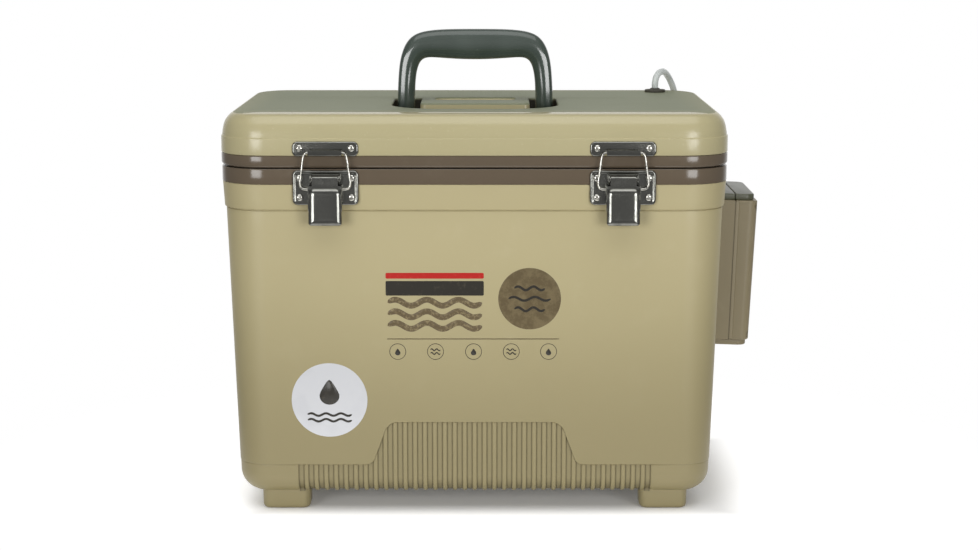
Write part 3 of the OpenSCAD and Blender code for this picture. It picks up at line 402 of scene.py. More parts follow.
def tub_skin():
    """Rings from the underside up: the wall's rounded foot, the panel, the seam, the collar."""
    over_rib = [0, 0.85, 1.5, 1.9, 2.1, 3, 4.25, 5.5, 6.4, 6.6, 7, 7.65]
    face_x = [-corner_x, -165, -158, -panel_half - 0.4]
    face_x += [rib_pitch * k + off - panel_half for k in range(rib_count) for off in over_rib]
    face_x += [panel_half, panel_half + 0.4, 158, 165, corner_x]
    columns = outline(face_x, 10)
    rings = [ring(columns, corner_r, foot_h + rib_rise)]
    for angle in (90, 87, 84, 81, 78, 75, 72, 68, 63, 57, 50, 42, 35, 28, 21, 14, 7):
        down, inward = math.sin(math.radians(angle)), math.cos(math.radians(angle))
        end = ease((angle - 68) / 20)
        row = []
        for anchor, out in columns:
            ribbed = abs(out.x) < 0.01 and abs(anchor.x) <= panel_half
            deep = rib_rise * max(groove(anchor, out), end) if ribbed else 0
            z = foot_h + edge_r * (1 - down) + deep * down
            inset = body_inset(z) + ledge(anchor, out) + edge_r * (1 - inward) + deep * inward
            row.append(drawn_in(anchor, out, inset, z))
        rings.append(row)
    for t in spread(0, 1, 12):
        row = []
        for anchor, out in columns:
            low, high = foot_h + edge_r, arch_edge(anchor.x) - 0.5
            z = low + (high - low) * t
            inset = body_inset(z) + ledge(anchor, out) + rib_rise * groove(anchor, out)
            row.append(drawn_in(anchor, out, inset, z))
        rings.append(row)
    for rise, share, deep in ((-0.1, 1.5, rib_rise), (0, 0.75, 0), (0.15, 0.35, 0), (0.45, 0.1, 0),
                              (0.9, 0, 0)):
        row = []
        for anchor, out in columns:
            z = arch_edge(anchor.x) + rise
            inset = body_inset(z) + ledge(anchor, out) * share + deep * groove(anchor, out)
            row.append(drawn_in(anchor, out, inset, z))
        rings.append(row)
    plain_z = 130
    for t in (0.02, 0.05, 0.1, 0.2, 0.35, 0.5, 0.75, 1):
        row = []
        for anchor, out in columns:
            low = arch_edge(anchor.x) + 0.9
            z = low + (plain_z - low) * t
            row.append(drawn_in(anchor, out, body_inset(z), z))
        rings.append(row)
    rings += [ring(columns, body_inset(z), z) for z in spread(plain_z, collar_z - 1.6, 9)[1:]]
    collar = [(3.6, -1.3), (3.9, -1.05), (4.5, -0.9), (4.5, -0.1), (2.6, 0), (2.3, 0.2), (2.2, 0.6)]
    rings += [ring(columns, inset, collar_z + rise) for inset, rise in collar]
    for z in spread(collar_z + 1, rim_z - 0.5, 4):
        rings.append(ring(columns, 2.2 - 1.4 * (z - collar_z) / (rim_z - collar_z), z))
    rings += [ring(columns, 1.1, rim_z - 0.12), ring(columns, 14, rim_z - 0.1)]
    return loft(rings, caps=(True, False))


def rounded_box(half_w, half_d, corner, inset):
    """A rectangle with rounded corners, drawn in by an inset, as offsets from its middle."""
    found = []
    for turn, (sign_x, sign_y) in enumerate(((1, 1), (-1, 1), (-1, -1), (1, -1))):
        for k in range(7):
            bend = math.radians(90 * turn + 15 * k)
            found.append((sign_x * (half_w - corner) + (corner - inset) * math.cos(bend),
                          sign_y * (half_d - corner) + (corner - inset) * math.sin(bend)))
    return found


def foot_shape(x, y):
    """A foot is a block with rounded corners that leans in a little and is round at the sole."""
    levels = [(5.2, 0.05), (4, 0.08), (2.5, 0.45), (1.4, 1.2), (0.8, 2.2), (0.5, 3.4), (0, 20)]
    return loft([[(x + across, y + back, z) for across, back in rounded_box(21, 15, 8, inset)]
                 for inset, z in levels], caps=(True, True))


feet = [foot_shape(x, y) for x in (-163, 163) for y in (-103, 103)]
tub_shell = piece("tub_shell", tan, "tub", joined(tub_skin(), *feet), 32)
shown(tub_shell, "tub_outer_shell")

# ---- Tub's inside ----
# Poured foam fills the wall and shows nowhere. The pale moulded liner drops into it, and its
# flange is let into the rim frame's top; both show when the lid is up.


def moulded(name, colour, worn, rough, grain=0.02, ior=1.46):
    """Moulded plastic: slow drift in its colour, a fine leather grain and a little dust."""
    finish = Finish(name, IOR=ior)
    drift = finish.noise(5).step(0.3, 0.7)
    dust = finish.noise(38, 5, 0.65).step(0.52, 0.8)
    colour = srgb(*colour)
    base = finish.mix(drift, colour, [c * 0.955 for c in colour[:3]] + [1])
    finish.colour(finish.mix(dust * 0.16, base, srgb(*worn)))
    finish.rough(rough + dust * 0.1 - drift * 0.03)
    finish.bump(finish.noise(1500, 2, 0.6) * 0.25 + finish.noise(16, 1) * 1.2, grain)
    return finish


liner = moulded("liner_plastic", (232, 230, 222), (214, 210, 196), 0.34, 0.015)
foam = Finish("foam", Roughness=0.9)
cells = foam.node("TexVoronoi", inputs={"Vector": foam.place(), "Scale": 900}, output="Distance")
foam.colour(foam.mix(cells, srgb(240, 226, 190), srgb(214, 196, 150)))
foam.bump(cells, 0.3)


def dress(node, finish, bevel=0):
    """A CAD node is shown as it is, in its finish, and with its edges broken when a bevel is given.
    """
    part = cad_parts[node]
    part.data.materials.clear()
    part.data.materials.append(finish.material)
    if bevel:
        rounding = part.modifiers.new("bevel", "BEVEL")
        rounding.width = bevel * mm
        rounding.segments = 3
        rounding.limit_method = "ANGLE"
        rounding.angle_limit = math.radians(40)
        rounding.harden_normals = True
    return part


dress("tub_liner", liner)
dress("tub_insulation", foam)

# ---- Rim frame ----
# A dark moulded frame is pressed over the wall's top edge, and reaches in under the lid. Its
# outer corners are round, so its edge catches the light.
brown = moulded("brown_plastic", (98, 86, 71), (122, 110, 94), 0.15, ior=1.5)
plain = outline(spread(-corner_x, corner_x, 24), 12)


def hoop(name, finish, body, section):
    """A closed section of [inset, height] points carried round the outline."""
    rings = [ring(plain, inset, z) for inset, z in section]
    return piece(name, finish, body, loft(rings, looped=True), 28)


rim_frame = hoop("rim_frame", brown, "tub", [
    (1.4, rim_z), (0.9, rim_z + 0.1), (0.62, rim_z + 0.35), (0.5, rim_z + 0.8), (0.5, rim_z + 6),
    (0.5, parting_z - 0.9), (0.62, parting_z - 0.45), (0.9, parting_z - 0.12), (1.4, parting_z),
    (14.8, parting_z), (14.8, parting_z - 2), (26.6, parting_z - 2), (26.6, rim_z),
])
shown(rim_frame, "tub_rim_frame")

# ---- Front's labels ----
# Printed film on the tub's front: a pale disc with a drop over waves, a brown disc with waves, a
# red and a dark bar over worn waves, and a thin rule over five rings that hold drops and waves.
film = Finish("label_film", Roughness=0.3, IOR=1.46)
rubbed = film.noise(60, 4).step(0.45, 0.75)
film.colour(film.mix(rubbed * 0.5, srgb(194, 195, 198), srgb(186, 187, 191)))
film.bump(film.noise(260, 3), 0.03)


def ink(name, rough, pattern, span, share, fresh, worn, depth):
    """Ink that is worn in flecks, where a noise passes through a span of its values."""
    finish = Finish(name, Roughness=rough, IOR=1.46)
    flecks = finish.noise(*pattern).step(*span)
    finish.colour(finish.mix(flecks * share, srgb(*fresh), srgb(*worn)))
    finish.bump(flecks, depth)
    return finish


emblem = ink("brown_film", 0.38, (120, 6, 0.7), (0.4, 0.66), 1, (92, 79, 53), (111, 98, 69), 0.04)
dark_ink = ink("dark_film", 0.34, (300, 3), (0.55, 0.8), 0.4, (44, 41, 35), (84, 78, 64), 0.02)
red_ink = ink("red_film", 0.34, (220, 4), (0.5, 0.8), 0.4, (178, 30, 26), (190, 70, 54), 0.02)
worn_ink = ink("worn_film", 0.42, (420, 6, 0.75), (0.5, 0.62), 1,
               (92, 78, 52), (134, 120, 86), 0.03)


def on_front(x, z, lift):
    """A point that stands out from the leaning front wall."""
    return x, -box_d / 2 + body_inset(z) - lift, z


def turns(steps):
    return [2 * math.pi * k / steps for k in range(steps)]


def film_disc(x, z, radius, lift=0.12):
    """A disc of film with a turned edge."""
    rings = []
    for share, rise in ((0.02, lift), (0.5, lift), (0.9, lift), (0.985, lift), (0.997, lift * 0.8),
                        (1, lift * 0.3), (1, -0.1)):
        reach = radius * share
        rings.append([on_front(x + reach * math.sin(t), z + reach * math.cos(t), rise)
                      for t in turns(96)])
    return loft(rings, caps=(True, False))


def film_strip(x, z, width, height, radius, lift):
    """A strip of film with rounded corners."""
    rings = []
    for inset, rise in ((0.6, lift), (0.15, lift), (0.03, lift * 0.7), (0, -0.1)):
        loop = rounded_box(width / 2, height / 2, radius, inset)
        rings.append([on_front(x + across, z + up, rise) for across, up in loop])
    return loft(rings, caps=(True, False))


def film_wave(x, z, width, swing, waves, thick, lift):
    """A wavy line of print: it swings up and down, and has round ends."""
    count = 24 * waves
    line = [Vector((x + width * (k / count - 0.5), z + swing * math.sin(math.pi * k / 12)))
            for k in range(count + 1)]
    rings = []
    for k, spot in enumerate(line):
        along = (line[min(k + 1, count)] - line[max(k - 1, 0)]).normalized()
        square = Vector((-along.y, along.x))
        reach = min(min(k, count - k) / 5, 1)
        half = thick / 2 * (math.sqrt(1 - (1 - reach) ** 2) * 0.96 + 0.04)
        rings.append([on_front(*(spot + square * half * share), rise) for share, rise in (
            (-1, -0.05), (-0.94, lift), (0.94, lift), (1, -0.05))])
    return loft(rings, closed=False)


def ring_print(x, z, radius, thick, lift):
    section = [(radius - thick, -0.05), (radius - thick * 0.9, lift),
               (radius - thick * 0.1, lift), (radius, -0.05)]
    return loft([[on_front(x + reach * math.cos(t), z + reach * math.sin(t), rise)
                  for t in turns(48)] for reach, rise in section])


def drop_print(x, z, size, lift):
    """A water drop: round below and drawn to a point above."""
    outer, inner = [], []
    for turn in turns(48):
        c, s = math.cos(turn), math.sin(turn)
        across = size * (1 - 0.42 * (0.5 + 0.5 * s) ** 2) * c * (1 - 0.3 * max(s, 0))
        up = size * s * (1.35 if s > 0 else 1)
        outer.append(on_front(x + across, z + up, -0.05))
        inner.append(on_front(x + across * 0.97, z + up * 0.97, lift))
    return loft([outer, inner], caps=(False, True))


def printed(name, finish, *shapes):
    return piece(name, finish, "tub", joined(*shapes), 60)


capacity_x, bars_x, emblem_x, emblem_z, icon_z = -123.6, -33.5, 46.6, 187.4, 141.6
capacity_disc = printed("capacity_disc", film, film_disc(capacity_x, 99.2, 32.3))
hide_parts("capacity_label")
printed("emblem_disc", emblem, film_disc(emblem_x, emblem_z, 26.5))
printed("red_stripe", red_ink, film_strip(bars_x, 207.2, 82.9, 5, 1.2, 0.1))
printed("dark_stripe", dark_ink, film_strip(bars_x, 196.4, 82.9, 12.6, 1.2, 0.1))
printed("thin_rule", emblem, film_strip(-1.2, 152.6, 146, 0.5, 0.24, 0.06))
printed("wave_print", worn_ink, *[film_wave(bars_x, z, 80, 2.6, 3, 5.2, 0.1)
                                  for z in (184, 174, 164)])
printed("emblem_print", dark_ink, *[film_wave(emblem_x, emblem_z + rise, width, 1.6, 2, 2.2, 0.22)
                                    for rise, width in ((9, 26), (0, 36), (-9, 26))])
icon_x = [-65.1, -33.1, -0.8, 31.2, 62.8]
marks = [ring_print(x, icon_z, 7.1, 0.55, 0.08) for x in icon_x]
marks += [drop_print(x, icon_z - 0.8, 2.5, 0.08) for x in icon_x[::2]]
marks += [film_wave(x, icon_z + rise, 8.4, 0.8, 2, 1, 0.08)
          for x in icon_x[1::2] for rise in (1.6, -1.6)]
printed("icon_prints", dark_ink, *marks)
printed("capacity_print", dark_ink, drop_print(capacity_x, 104.4, 9.4, 0.24),
        *[film_wave(capacity_x, z, 38, 1.1, 3, 2, 0.24) for z in (86.5, 81.5)])

# ---- Lid ----
# A dark band seats on the rim. Over it the lid's shell rises straight to a fine ridge, rounds in
# to a flat top, and holds a recess round an island, in which the handle lies when it is folded.
band_z, shell_z, ridge_z = 299, 309, 323.6
trim_band = hoop("trim_band", brown, "lid", [
    (2.2, band_z), (1.5, band_z + 0.15), (0.5, band_z + 1.2), (0.12, band_z + 1.9),
    (0, band_z + 2.6), (0, band_z + 6), (0, shell_z - 0.9), (0.14, shell_z - 0.4),
    (0.5, shell_z - 0.08), (1, shell_z), (6, shell_z), (6, band_z),
])
shown(trim_band, "lid_trim_band")

recess_z, recess_half, island_half, island_front = 324, 72.6, 48.2, -33
recess_corners = [
    (-recess_half, -90, 47), (recess_half, -90, 47), (recess_half, 26, 8), (island_half, 26, 2),
    (island_half, island_front, 5), (-island_half, island_front, 5), (-island_half, 26, 2),
    (-recess_half, 26, 8),
]
dish_half, dish_front, dish_back = 36, 8, 34
dish_corners = [(-dish_half, dish_front, 6), (dish_half, dish_front, 6),
                (dish_half, dish_back, 6), (-dish_half, dish_back, 6)]

lid_plastic = Finish("lid_plastic", IOR=1.5)
side, depth, level = lid_plastic.axes()
side, depth = abs(side - middle.x), depth - middle.y
rim_in = side.math("MINIMUM", (box_w / 2 + 10.5) * mm - side, box_d / 2 * mm - abs(depth))
high = over(level, lid_top - 1.6, 0.6)
flat_top = over(rim_in, 18, 2.5) * high
gloss = over(rim_in, 12.5, 1.5) * under(rim_in, 18, 2.5) * high
island = under(side, island_half + 0.2, 0.2) * over(depth, island_front - 0.6, 0.2)
# Painted shade: the deep pockets of the recess beside the island are coloured near black, where
# shade falls.
pocket_shade = under(side, recess_half + 0.6, 0.6) * under(level, 341.5, 2.3) * (1 - island)
pocket_shade = pocket_shade * over(depth, -90, 30) * under(depth, 40, 10) * over(level, recess_z - 0.4, 0.2)
# Painted light: the dish's walls below the flat top are coloured a pale tan, as if lit.
dish = under(side, dish_half + 0.2, 0.4) * over(depth, dish_front - 0.6, 0.4)
dish = dish * under(depth, dish_back + 0.2, 0.4) * (1 - high) * over(level, 330, 1)
scuff = lid_plastic.noise(420, 5, 0.65, (1, 0.25, 1)).step(0.45, 0.75)
wide = lid_plastic.noise(9).step(0.3, 0.7)
# Painted shade: the flat top is coloured a darker, greyer green than the sides, for the less light
# it takes and the grey it mirrors; near the rim it is tinted towards the sides' tan, a painted
# reflection.
painted_top_shade = lid_plastic.mix(scuff * 0.3 + wide * 0.2, srgb(128, 133, 106), srgb(145, 148, 122))
side_colour = lid_plastic.mix(scuff * 0.1 + wide * 0.15, srgb(177, 168, 130), srgb(186, 179, 143))
painted_top_shade = lid_plastic.mix(under(rim_in, 19, 31) * 0.25, painted_top_shade, side_colour)
colour = lid_plastic.mix(flat_top, side_colour, painted_top_shade)
colour = lid_plastic.mix(dish * 0.7, colour, srgb(226, 216, 176))
lid_plastic.colour(lid_plastic.mix(pocket_shade * 0.93, colour, srgb(30, 29, 24)))
lid_plastic.rough(0.24 + flat_top * 0.36 - gloss * 0.18 + scuff * 0.04)
squares = side.math("SINE", side * 2850) + side.math("SINE", depth * 2850)
grain = lid_plastic.noise(1500) * flat_top + lid_plastic.noise(14, 1)
lid_plastic.bump(squares * island * high + grain, 0.05)


def square_loop(corners, grow, z, steps=8):
    """A loop whose sides lie along X and Y, with rounded corners, drawn out by grow."""
    loop = []
    for k, (x, y, radius) in enumerate(corners):
        before, after = corners[k - 1], corners[(k + 1) % len(corners)]
        d1 = Vector((x - before[0], y - before[1])).normalized()
        d2 = Vector((after[0] - x, after[1] - y)).normalized()
        n1, n2 = Vector((d1.y, -d1.x)), Vector((d2.y, -d2.x))
        side = 1 if d1.x * d2.y - d1.y * d2.x > 0 else -1
        round_r = max(radius + side * grow, 0.2)
        centre = Vector((x, y)) + (n1 + n2) * (grow - side * round_r)
        for j in range(steps + 1):
            turn = math.pi / 2 * j / steps
            way = n1 * math.cos(turn) + n2 * math.sin(turn)
            loop.append((*(centre + way * side * round_r), z))
    return loop


def circle_loop(x, y, radius, z):
    return [(x + radius * math.cos(t), y + radius * math.sin(t), z) for t in turns(48)]


def filled(outer, *holes):
    """A flat face with holes, as triangles."""
    loops = [[Vector(p) for p in loop] for loop in (outer, *holes)]
    triangles = tessellate_polygon(loops)
    return [tuple(p) for loop in loops for p in loop], [tuple(t) for t in triangles]


def dome_section():
    """The dome's section as [inset, height], a smooth line through its measured levels."""
    levels = [(0.85, 0.5), (1.6, 6), (3.2, 11.5), (5.6, 15.3), (7.9, 17.7), (9.6, 18.8),
              (11.6, 19.4), (14.5, 19.83), (18, 20.16), (21.5, 20.35), (25, 20.4)]
    found = []
    for k in range(len(levels) - 1):
        knots = [Vector(levels[min(max(k + j, 0), len(levels) - 1)]) for j in (-1, 0, 1, 2)]
        a, b, c, d = knots
        for j in range(5):
            t = j / 5
            found.append(0.5 * (2 * b + (c - a) * t + (2 * a - 5 * b + 4 * c - d) * t * t
                                + (3 * b - a - 3 * c + d) * t ** 3))
    return [(p.x, ridge_z + p.y) for p in found] + [(25, lid_top)]


def lid_skin():
    section = [(5, shell_z + 0.1), (0.9, shell_z + 0.1), (0.4, shell_z + 0.25),
               (0.1, shell_z + 0.6)]
    section += [(0, shell_z + 1.1), (0, shell_z + 7), (0, ridge_z - 0.9), (0.08, ridge_z - 0.35)]
    section += [(0.3, ridge_z - 0.06), (0.6, ridge_z), (0.74, ridge_z + 0.05)]
    section += dome_section()
    sides = loft([ring(plain, inset, z) for inset, z in section])
    edge = ring(plain, section[-1][0], lid_top)
    lips = []
    skins = []
    fillet = [(1.3, 0), (0.85, 0.08), (0.4, 0.35), (0.12, 0.75), (0, 1.3)]
    for corners, floor, foot in ((recess_corners, recess_z, 1.6), (dish_corners, 341.4, 0.8)):
        levels = [(grow, lid_top - drop) for grow, drop in fillet]
        levels += [(0, floor + foot), (-foot * 0.3, floor + foot * 0.3), (-foot, floor)]
        rings = [square_loop(corners, grow, z) for grow, z in levels]
        lips.append(rings[0])
        skins += [loft(rings), filled(rings[-1])]
    hole = [circle_loop(grommet_x, grommet_y, r, z) for r, z in ((6, lid_top), (5.4, lid_top - 0.6),
                                                                (5.4, shell_z + 2))]
    top = filled(edge, *lips, hole[0])
    return joined(sides, top, loft(hole), *skins)


lid_shell = piece("lid_shell", lid_plastic, "lid", lid_skin(), 30)
shown(lid_shell, "lid_outer_shell")
dress("lid_liner", liner, 0.4)
dress("lid_insulation", foam)
rubber = Finish("gasket_rubber", IOR=1.5)
bloom = rubber.noise(140, 4).step(0.4, 0.75)
rubber.colour(rubber.mix(bloom * 0.5, srgb(60, 57, 48), srgb(88, 84, 72)))
rubber.rough(0.5 + bloom * 0.2)
rubber.bump(rubber.noise(900), 0.05)
dress("lid_gasket", rubber)

# ---- Grommet ----
# A ring of soft dark rubber, pressed into a hole in the lid. It grips the air line, which goes
# down through it.
grommet = piece("grommet", rubber, "lid", loft([
    circle_loop(grommet_x, grommet_y, r, z) for r, z in (
        (8.8, 343.9), (9.5, 344), (9.68, 344.3), (9.68, 345.8), (9.5, 346.3), (9, 346.5),
        (5, 346.7), (4.6, 346.9), (4.4, 347.5), (4, 347.8), (3.4, 347.8), (3.05, 347.4),
        (3.05, 330))]), 50)
shown(grommet, "tube_grommet")

# ---- Handle ----
# One glossy moulding: two legs that turn on pins in the recess, and a grip that swells between
# rounded shoulders. A leg's front is two flats that meet on a ridge; the grip is round.
handle_finish = Finish("handle_plastic", IOR=1.5, Coat_Weight=0.8, Coat_Roughness=0.1)
swirl = handle_finish.noise(26, 3).step(0.3, 0.7)
nick = handle_finish.noise(220, 5, 0.7).step(0.6, 0.8)
handle_base = handle_finish.mix(swirl, srgb(55, 66, 59), srgb(63, 74, 67))
handle_finish.colour(handle_finish.mix(nick * 0.25, handle_base, srgb(104, 113, 105)))
_, _, level = handle_finish.axes()
handle_finish.rough(0.17 + swirl * 0.05 + nick * 0.12 + over(level, 385, 15) * 0.3)
handle_finish.bump(handle_finish.noise(30) + nick * 0.1, 0.06)
pivot_z = 333.5
stations = [
    (69.3, -7.4, 54.6, -7.4, 4), (69.3, -5, 53.9, -5, 7.4), (69.3, 0, 53.7, 0, 9),
    (69.3, 7, 53.8, 7, 9), (69.3, 14, 53.7, 14, 9), (69, 22, 53.4, 22, 9), (68.6, 30, 52.9, 29, 9),
    (68.1, 37, 52.2, 34.8, 9), (67.3, 44, 51.2, 39.4, 9), (66, 50.5, 49.9, 43, 9),
    (64, 57, 48.2, 45.8, 9), (61, 62.6, 46, 47.6, 9), (57, 67.2, 43.2, 48.6, 9),
    (51.5, 70.5, 39.3, 48.9, 9), (44, 72.5, 34, 48.6, 9), (35, 73.6, 27.4, 48.1, 9),
    (25, 74.1, 20, 47.6, 9), (15, 74.25, 12, 47.2, 9), (7, 74.3, 5.5, 47.05, 9),
    (0, 74.3, 0, 47, 9),
]
leg_corners = [(1, -0.83), (1, 0.83), (-0.1, 1.04), (-1, 0.6), (-1, -0.6), (-0.1, -1.04)]


def softened(corners, times):
    """A closed outline whose corners are cut again and again, which leaves its flats flat."""
    for _ in range(times):
        ahead = corners[1:] + corners[:1]
        corners = [(a * x + (1 - a) * next_x, a * y + (1 - a) * next_y)
                   for (x, y), (next_x, next_y) in zip(corners, ahead) for a in (0.8, 0.2)]
    return corners


def handle_skin():
    half = [(Vector((a, 0, b)), Vector((c, 0, d)), e) for a, b, c, d, e in stations]
    flip = Matrix.Diagonal((-1, 1, 1))
    whole = half + [(flip @ a, flip @ b, e) for a, b, e in reversed(half[:-1])]
    leg = softened(leg_corners, 3)
    rings = []
    for outer, inner, deep in whole:
        centre, reach = (outer + inner) / 2, (outer - inner) / 2
        grip = ease((outer.z - 49) / 12)
        row = []
        for flat_c, flat_s in leg:
            turn = math.atan2(flat_s, flat_c)
            c, s = math.cos(turn), math.sin(turn)
            c = math.copysign(abs(c) ** 0.86, c) * grip + flat_c * (1 - grip)
            s = math.copysign(abs(s) ** 0.86, s) * grip + flat_s * (1 - grip)
            row.append(tuple(centre + reach * c + Vector((0, deep * s, pivot_z))))
        rings.append(row)
    return loft(rings, caps=(True, True))


handle = piece("handle_body", handle_finish, "handle", handle_skin(), 60)
shown(handle, "handle")
smooth = handle.modifiers.new("smooth", "SUBSURF")
smooth.levels = 1
smooth.render_levels = 2

# ---- Latches ----
# Draw latches of pressed, dark-plated sheet: a keeper on the lid, and a base on the tub whose
# lever is curled round a pin. A wire loop runs from the lever up behind the keeper's lip.
sheet = Finish("pressed_steel", Metallic=1)
stain = sheet.noise(130, 5, 0.65).step(0.42, 0.75)
sheet.colour(sheet.mix(stain, (0.24, 0.24, 0.22, 1), (0.15, 0.15, 0.138, 1)))
sheet.rough(0.17 + stain * 0.1)
sheet.bump(sheet.noise(90) + sheet.noise(900, stretch=(1, 1, 0.2)) * 0.1, 0.08)


def bright_steel(name, scale, span, bright, dull, rough, rougher):
    """Bare steel that is duller and rougher where a noise passes through a span."""
    finish = Finish(name, Metallic=1)
    tarnish = finish.noise(scale, 3).step(*span)
    finish.colour(finish.mix(tarnish, (*bright, 1), (*dull, 1)))
    finish.rough(rough + tarnish * rougher)
    finish.bump(tarnish, 0.03)
    return finish


wire = bright_steel("wire_steel", 300, (0.35, 0.75), (0.62, 0.61, 0.56), (0.42, 0.41, 0.37),
                    0.18, 0.1)
plated = bright_steel("screw_steel", 400, (0.4, 0.8), (0.7, 0.69, 0.64), (0.45, 0.44, 0.4),
                      0.2, 0.12)
face_y = box_d / 2
latch_x, latch_y, latch_z = 124, -face_y - 5.5, 290.2
keeper_z, base_z, plate_half = 315, 282.55, 27.7


def pressed_plate(corners, x, back, z, levels):
    """A plate in the XZ plane: levels are [drawn out by, height over its back]."""
    loops = [square_loop(corners, grow, 0) for grow, _ in levels]
    rings = [[(x + across, back - rise, z + up) for across, up, _ in loop]
             for loop, (_, rise) in zip(loops, levels)]
    _, faces = filled(loops[-1])
    return joined(loft(rings), (rings[-1], faces))


def prism(section, x_low, x_high, chamfer=0.3):
    """A section of [out, up] points from the lever's pivot, pressed along X with soft edges."""
    mid_out = sum(p[0] for p in section) / len(section)
    mid_up = sum(p[1] for p in section) / len(section)
    rings = []
    for x, shrink in ((x_low, 0.9), (x_low + chamfer, 1), (x_high - chamfer, 1), (x_high, 0.9)):
        rings.append([(x, latch_y + mid_out + (out - mid_out) * shrink,
                       latch_z + mid_up + (up - mid_up) * shrink) for out, up in section])
    return loft(rings, caps=(True, True))


def rod(x, half_l, radius):
    """A rod along X on the lever's pivot, with rounded ends."""
    ends = [(half_l, 0.5), (half_l - 0.12, 0.82), (half_l - 0.35, 1)]
    skin = []
    for along, share in [(-place, share) for place, share in ends] + ends[::-1]:
        size = radius * share
        skin.append([(x + along, latch_y + size * math.cos(t), latch_z + size * math.sin(t))
                     for t in turns(28)])
    return loft(skin, caps=(True, True))


def pad_skin(x):
    """The thumb pad: a pillow with round shoulders and corners, and a lip that flares out."""
    corners = [(-14.1, -38.2, 2.6), (14.1, -38.2, 2.6), (14.1, -7.2, 5.6), (-14.1, -7.2, 5.6)]
    rings = []
    for thick, drawn in [(1.3, 1.6), (0.9, 0.5), (0.4, 0.08)] + [
            (0, 6 * (1 - math.cos(k / 11 * math.pi / 2))) for k in range(12)]:
        crown = 3.4 * math.sqrt(max(1 - (1 - min(drawn, 6) / 6) ** 2, 0)) if thick == 0 else 0
        row = []
        for across, up, _ in square_loop(corners, -drawn, 0):
            t = (up + 7.2) / -31
            waist = 1 - 0.045 * math.sin(math.pi * min(max(t, 0), 1))
            flare = 1.3 * ease((t - 0.8) / 0.2)
            up -= 0.5 * (1 - (across / 14.1) ** 2) * ease((t - 0.7) / 0.3)
            lift = -3.6 - crown * (1 - 0.35 * ease((t - 0.85) / 0.15)) - flare + thick
            row.append((x + across * waist, latch_y + lift, latch_z + up))
        rings.append(row)
    _, faces = filled([(p[0], 0, p[2]) for p in rings[-1]])
    return joined(loft(rings, caps=(True, False)), (rings[-1], faces))


def screw_skin(x, y, z, turn):
    """A domed screw head on a plate, with a cross driven into it."""
    rings = []
    for reach, rise in ((2.85, -0.1), (2.85, 0.25), (2.72, 0.55), (2.4, 0.9), (2, 1.12),
                        (1.7, 1.22), (1.55, 1.26), (1.35, 1.3), (1.1, 1.33), (0.8, 1.35),
                        (0.5, 1.36), (0.2, 1.36)):
        row = []
        for bend in turns(48):
            a, b = abs(reach * math.cos(bend - turn)), abs(reach * math.sin(bend - turn))
            sunk = 0.8 if min(a, b) < 0.42 and max(a, b) < 1.6 else 0
            row.append((x + reach * math.cos(bend), y - rise + sunk, z + reach * math.sin(bend)))
        rings.append(row)
    return loft(rings, caps=(True, True))


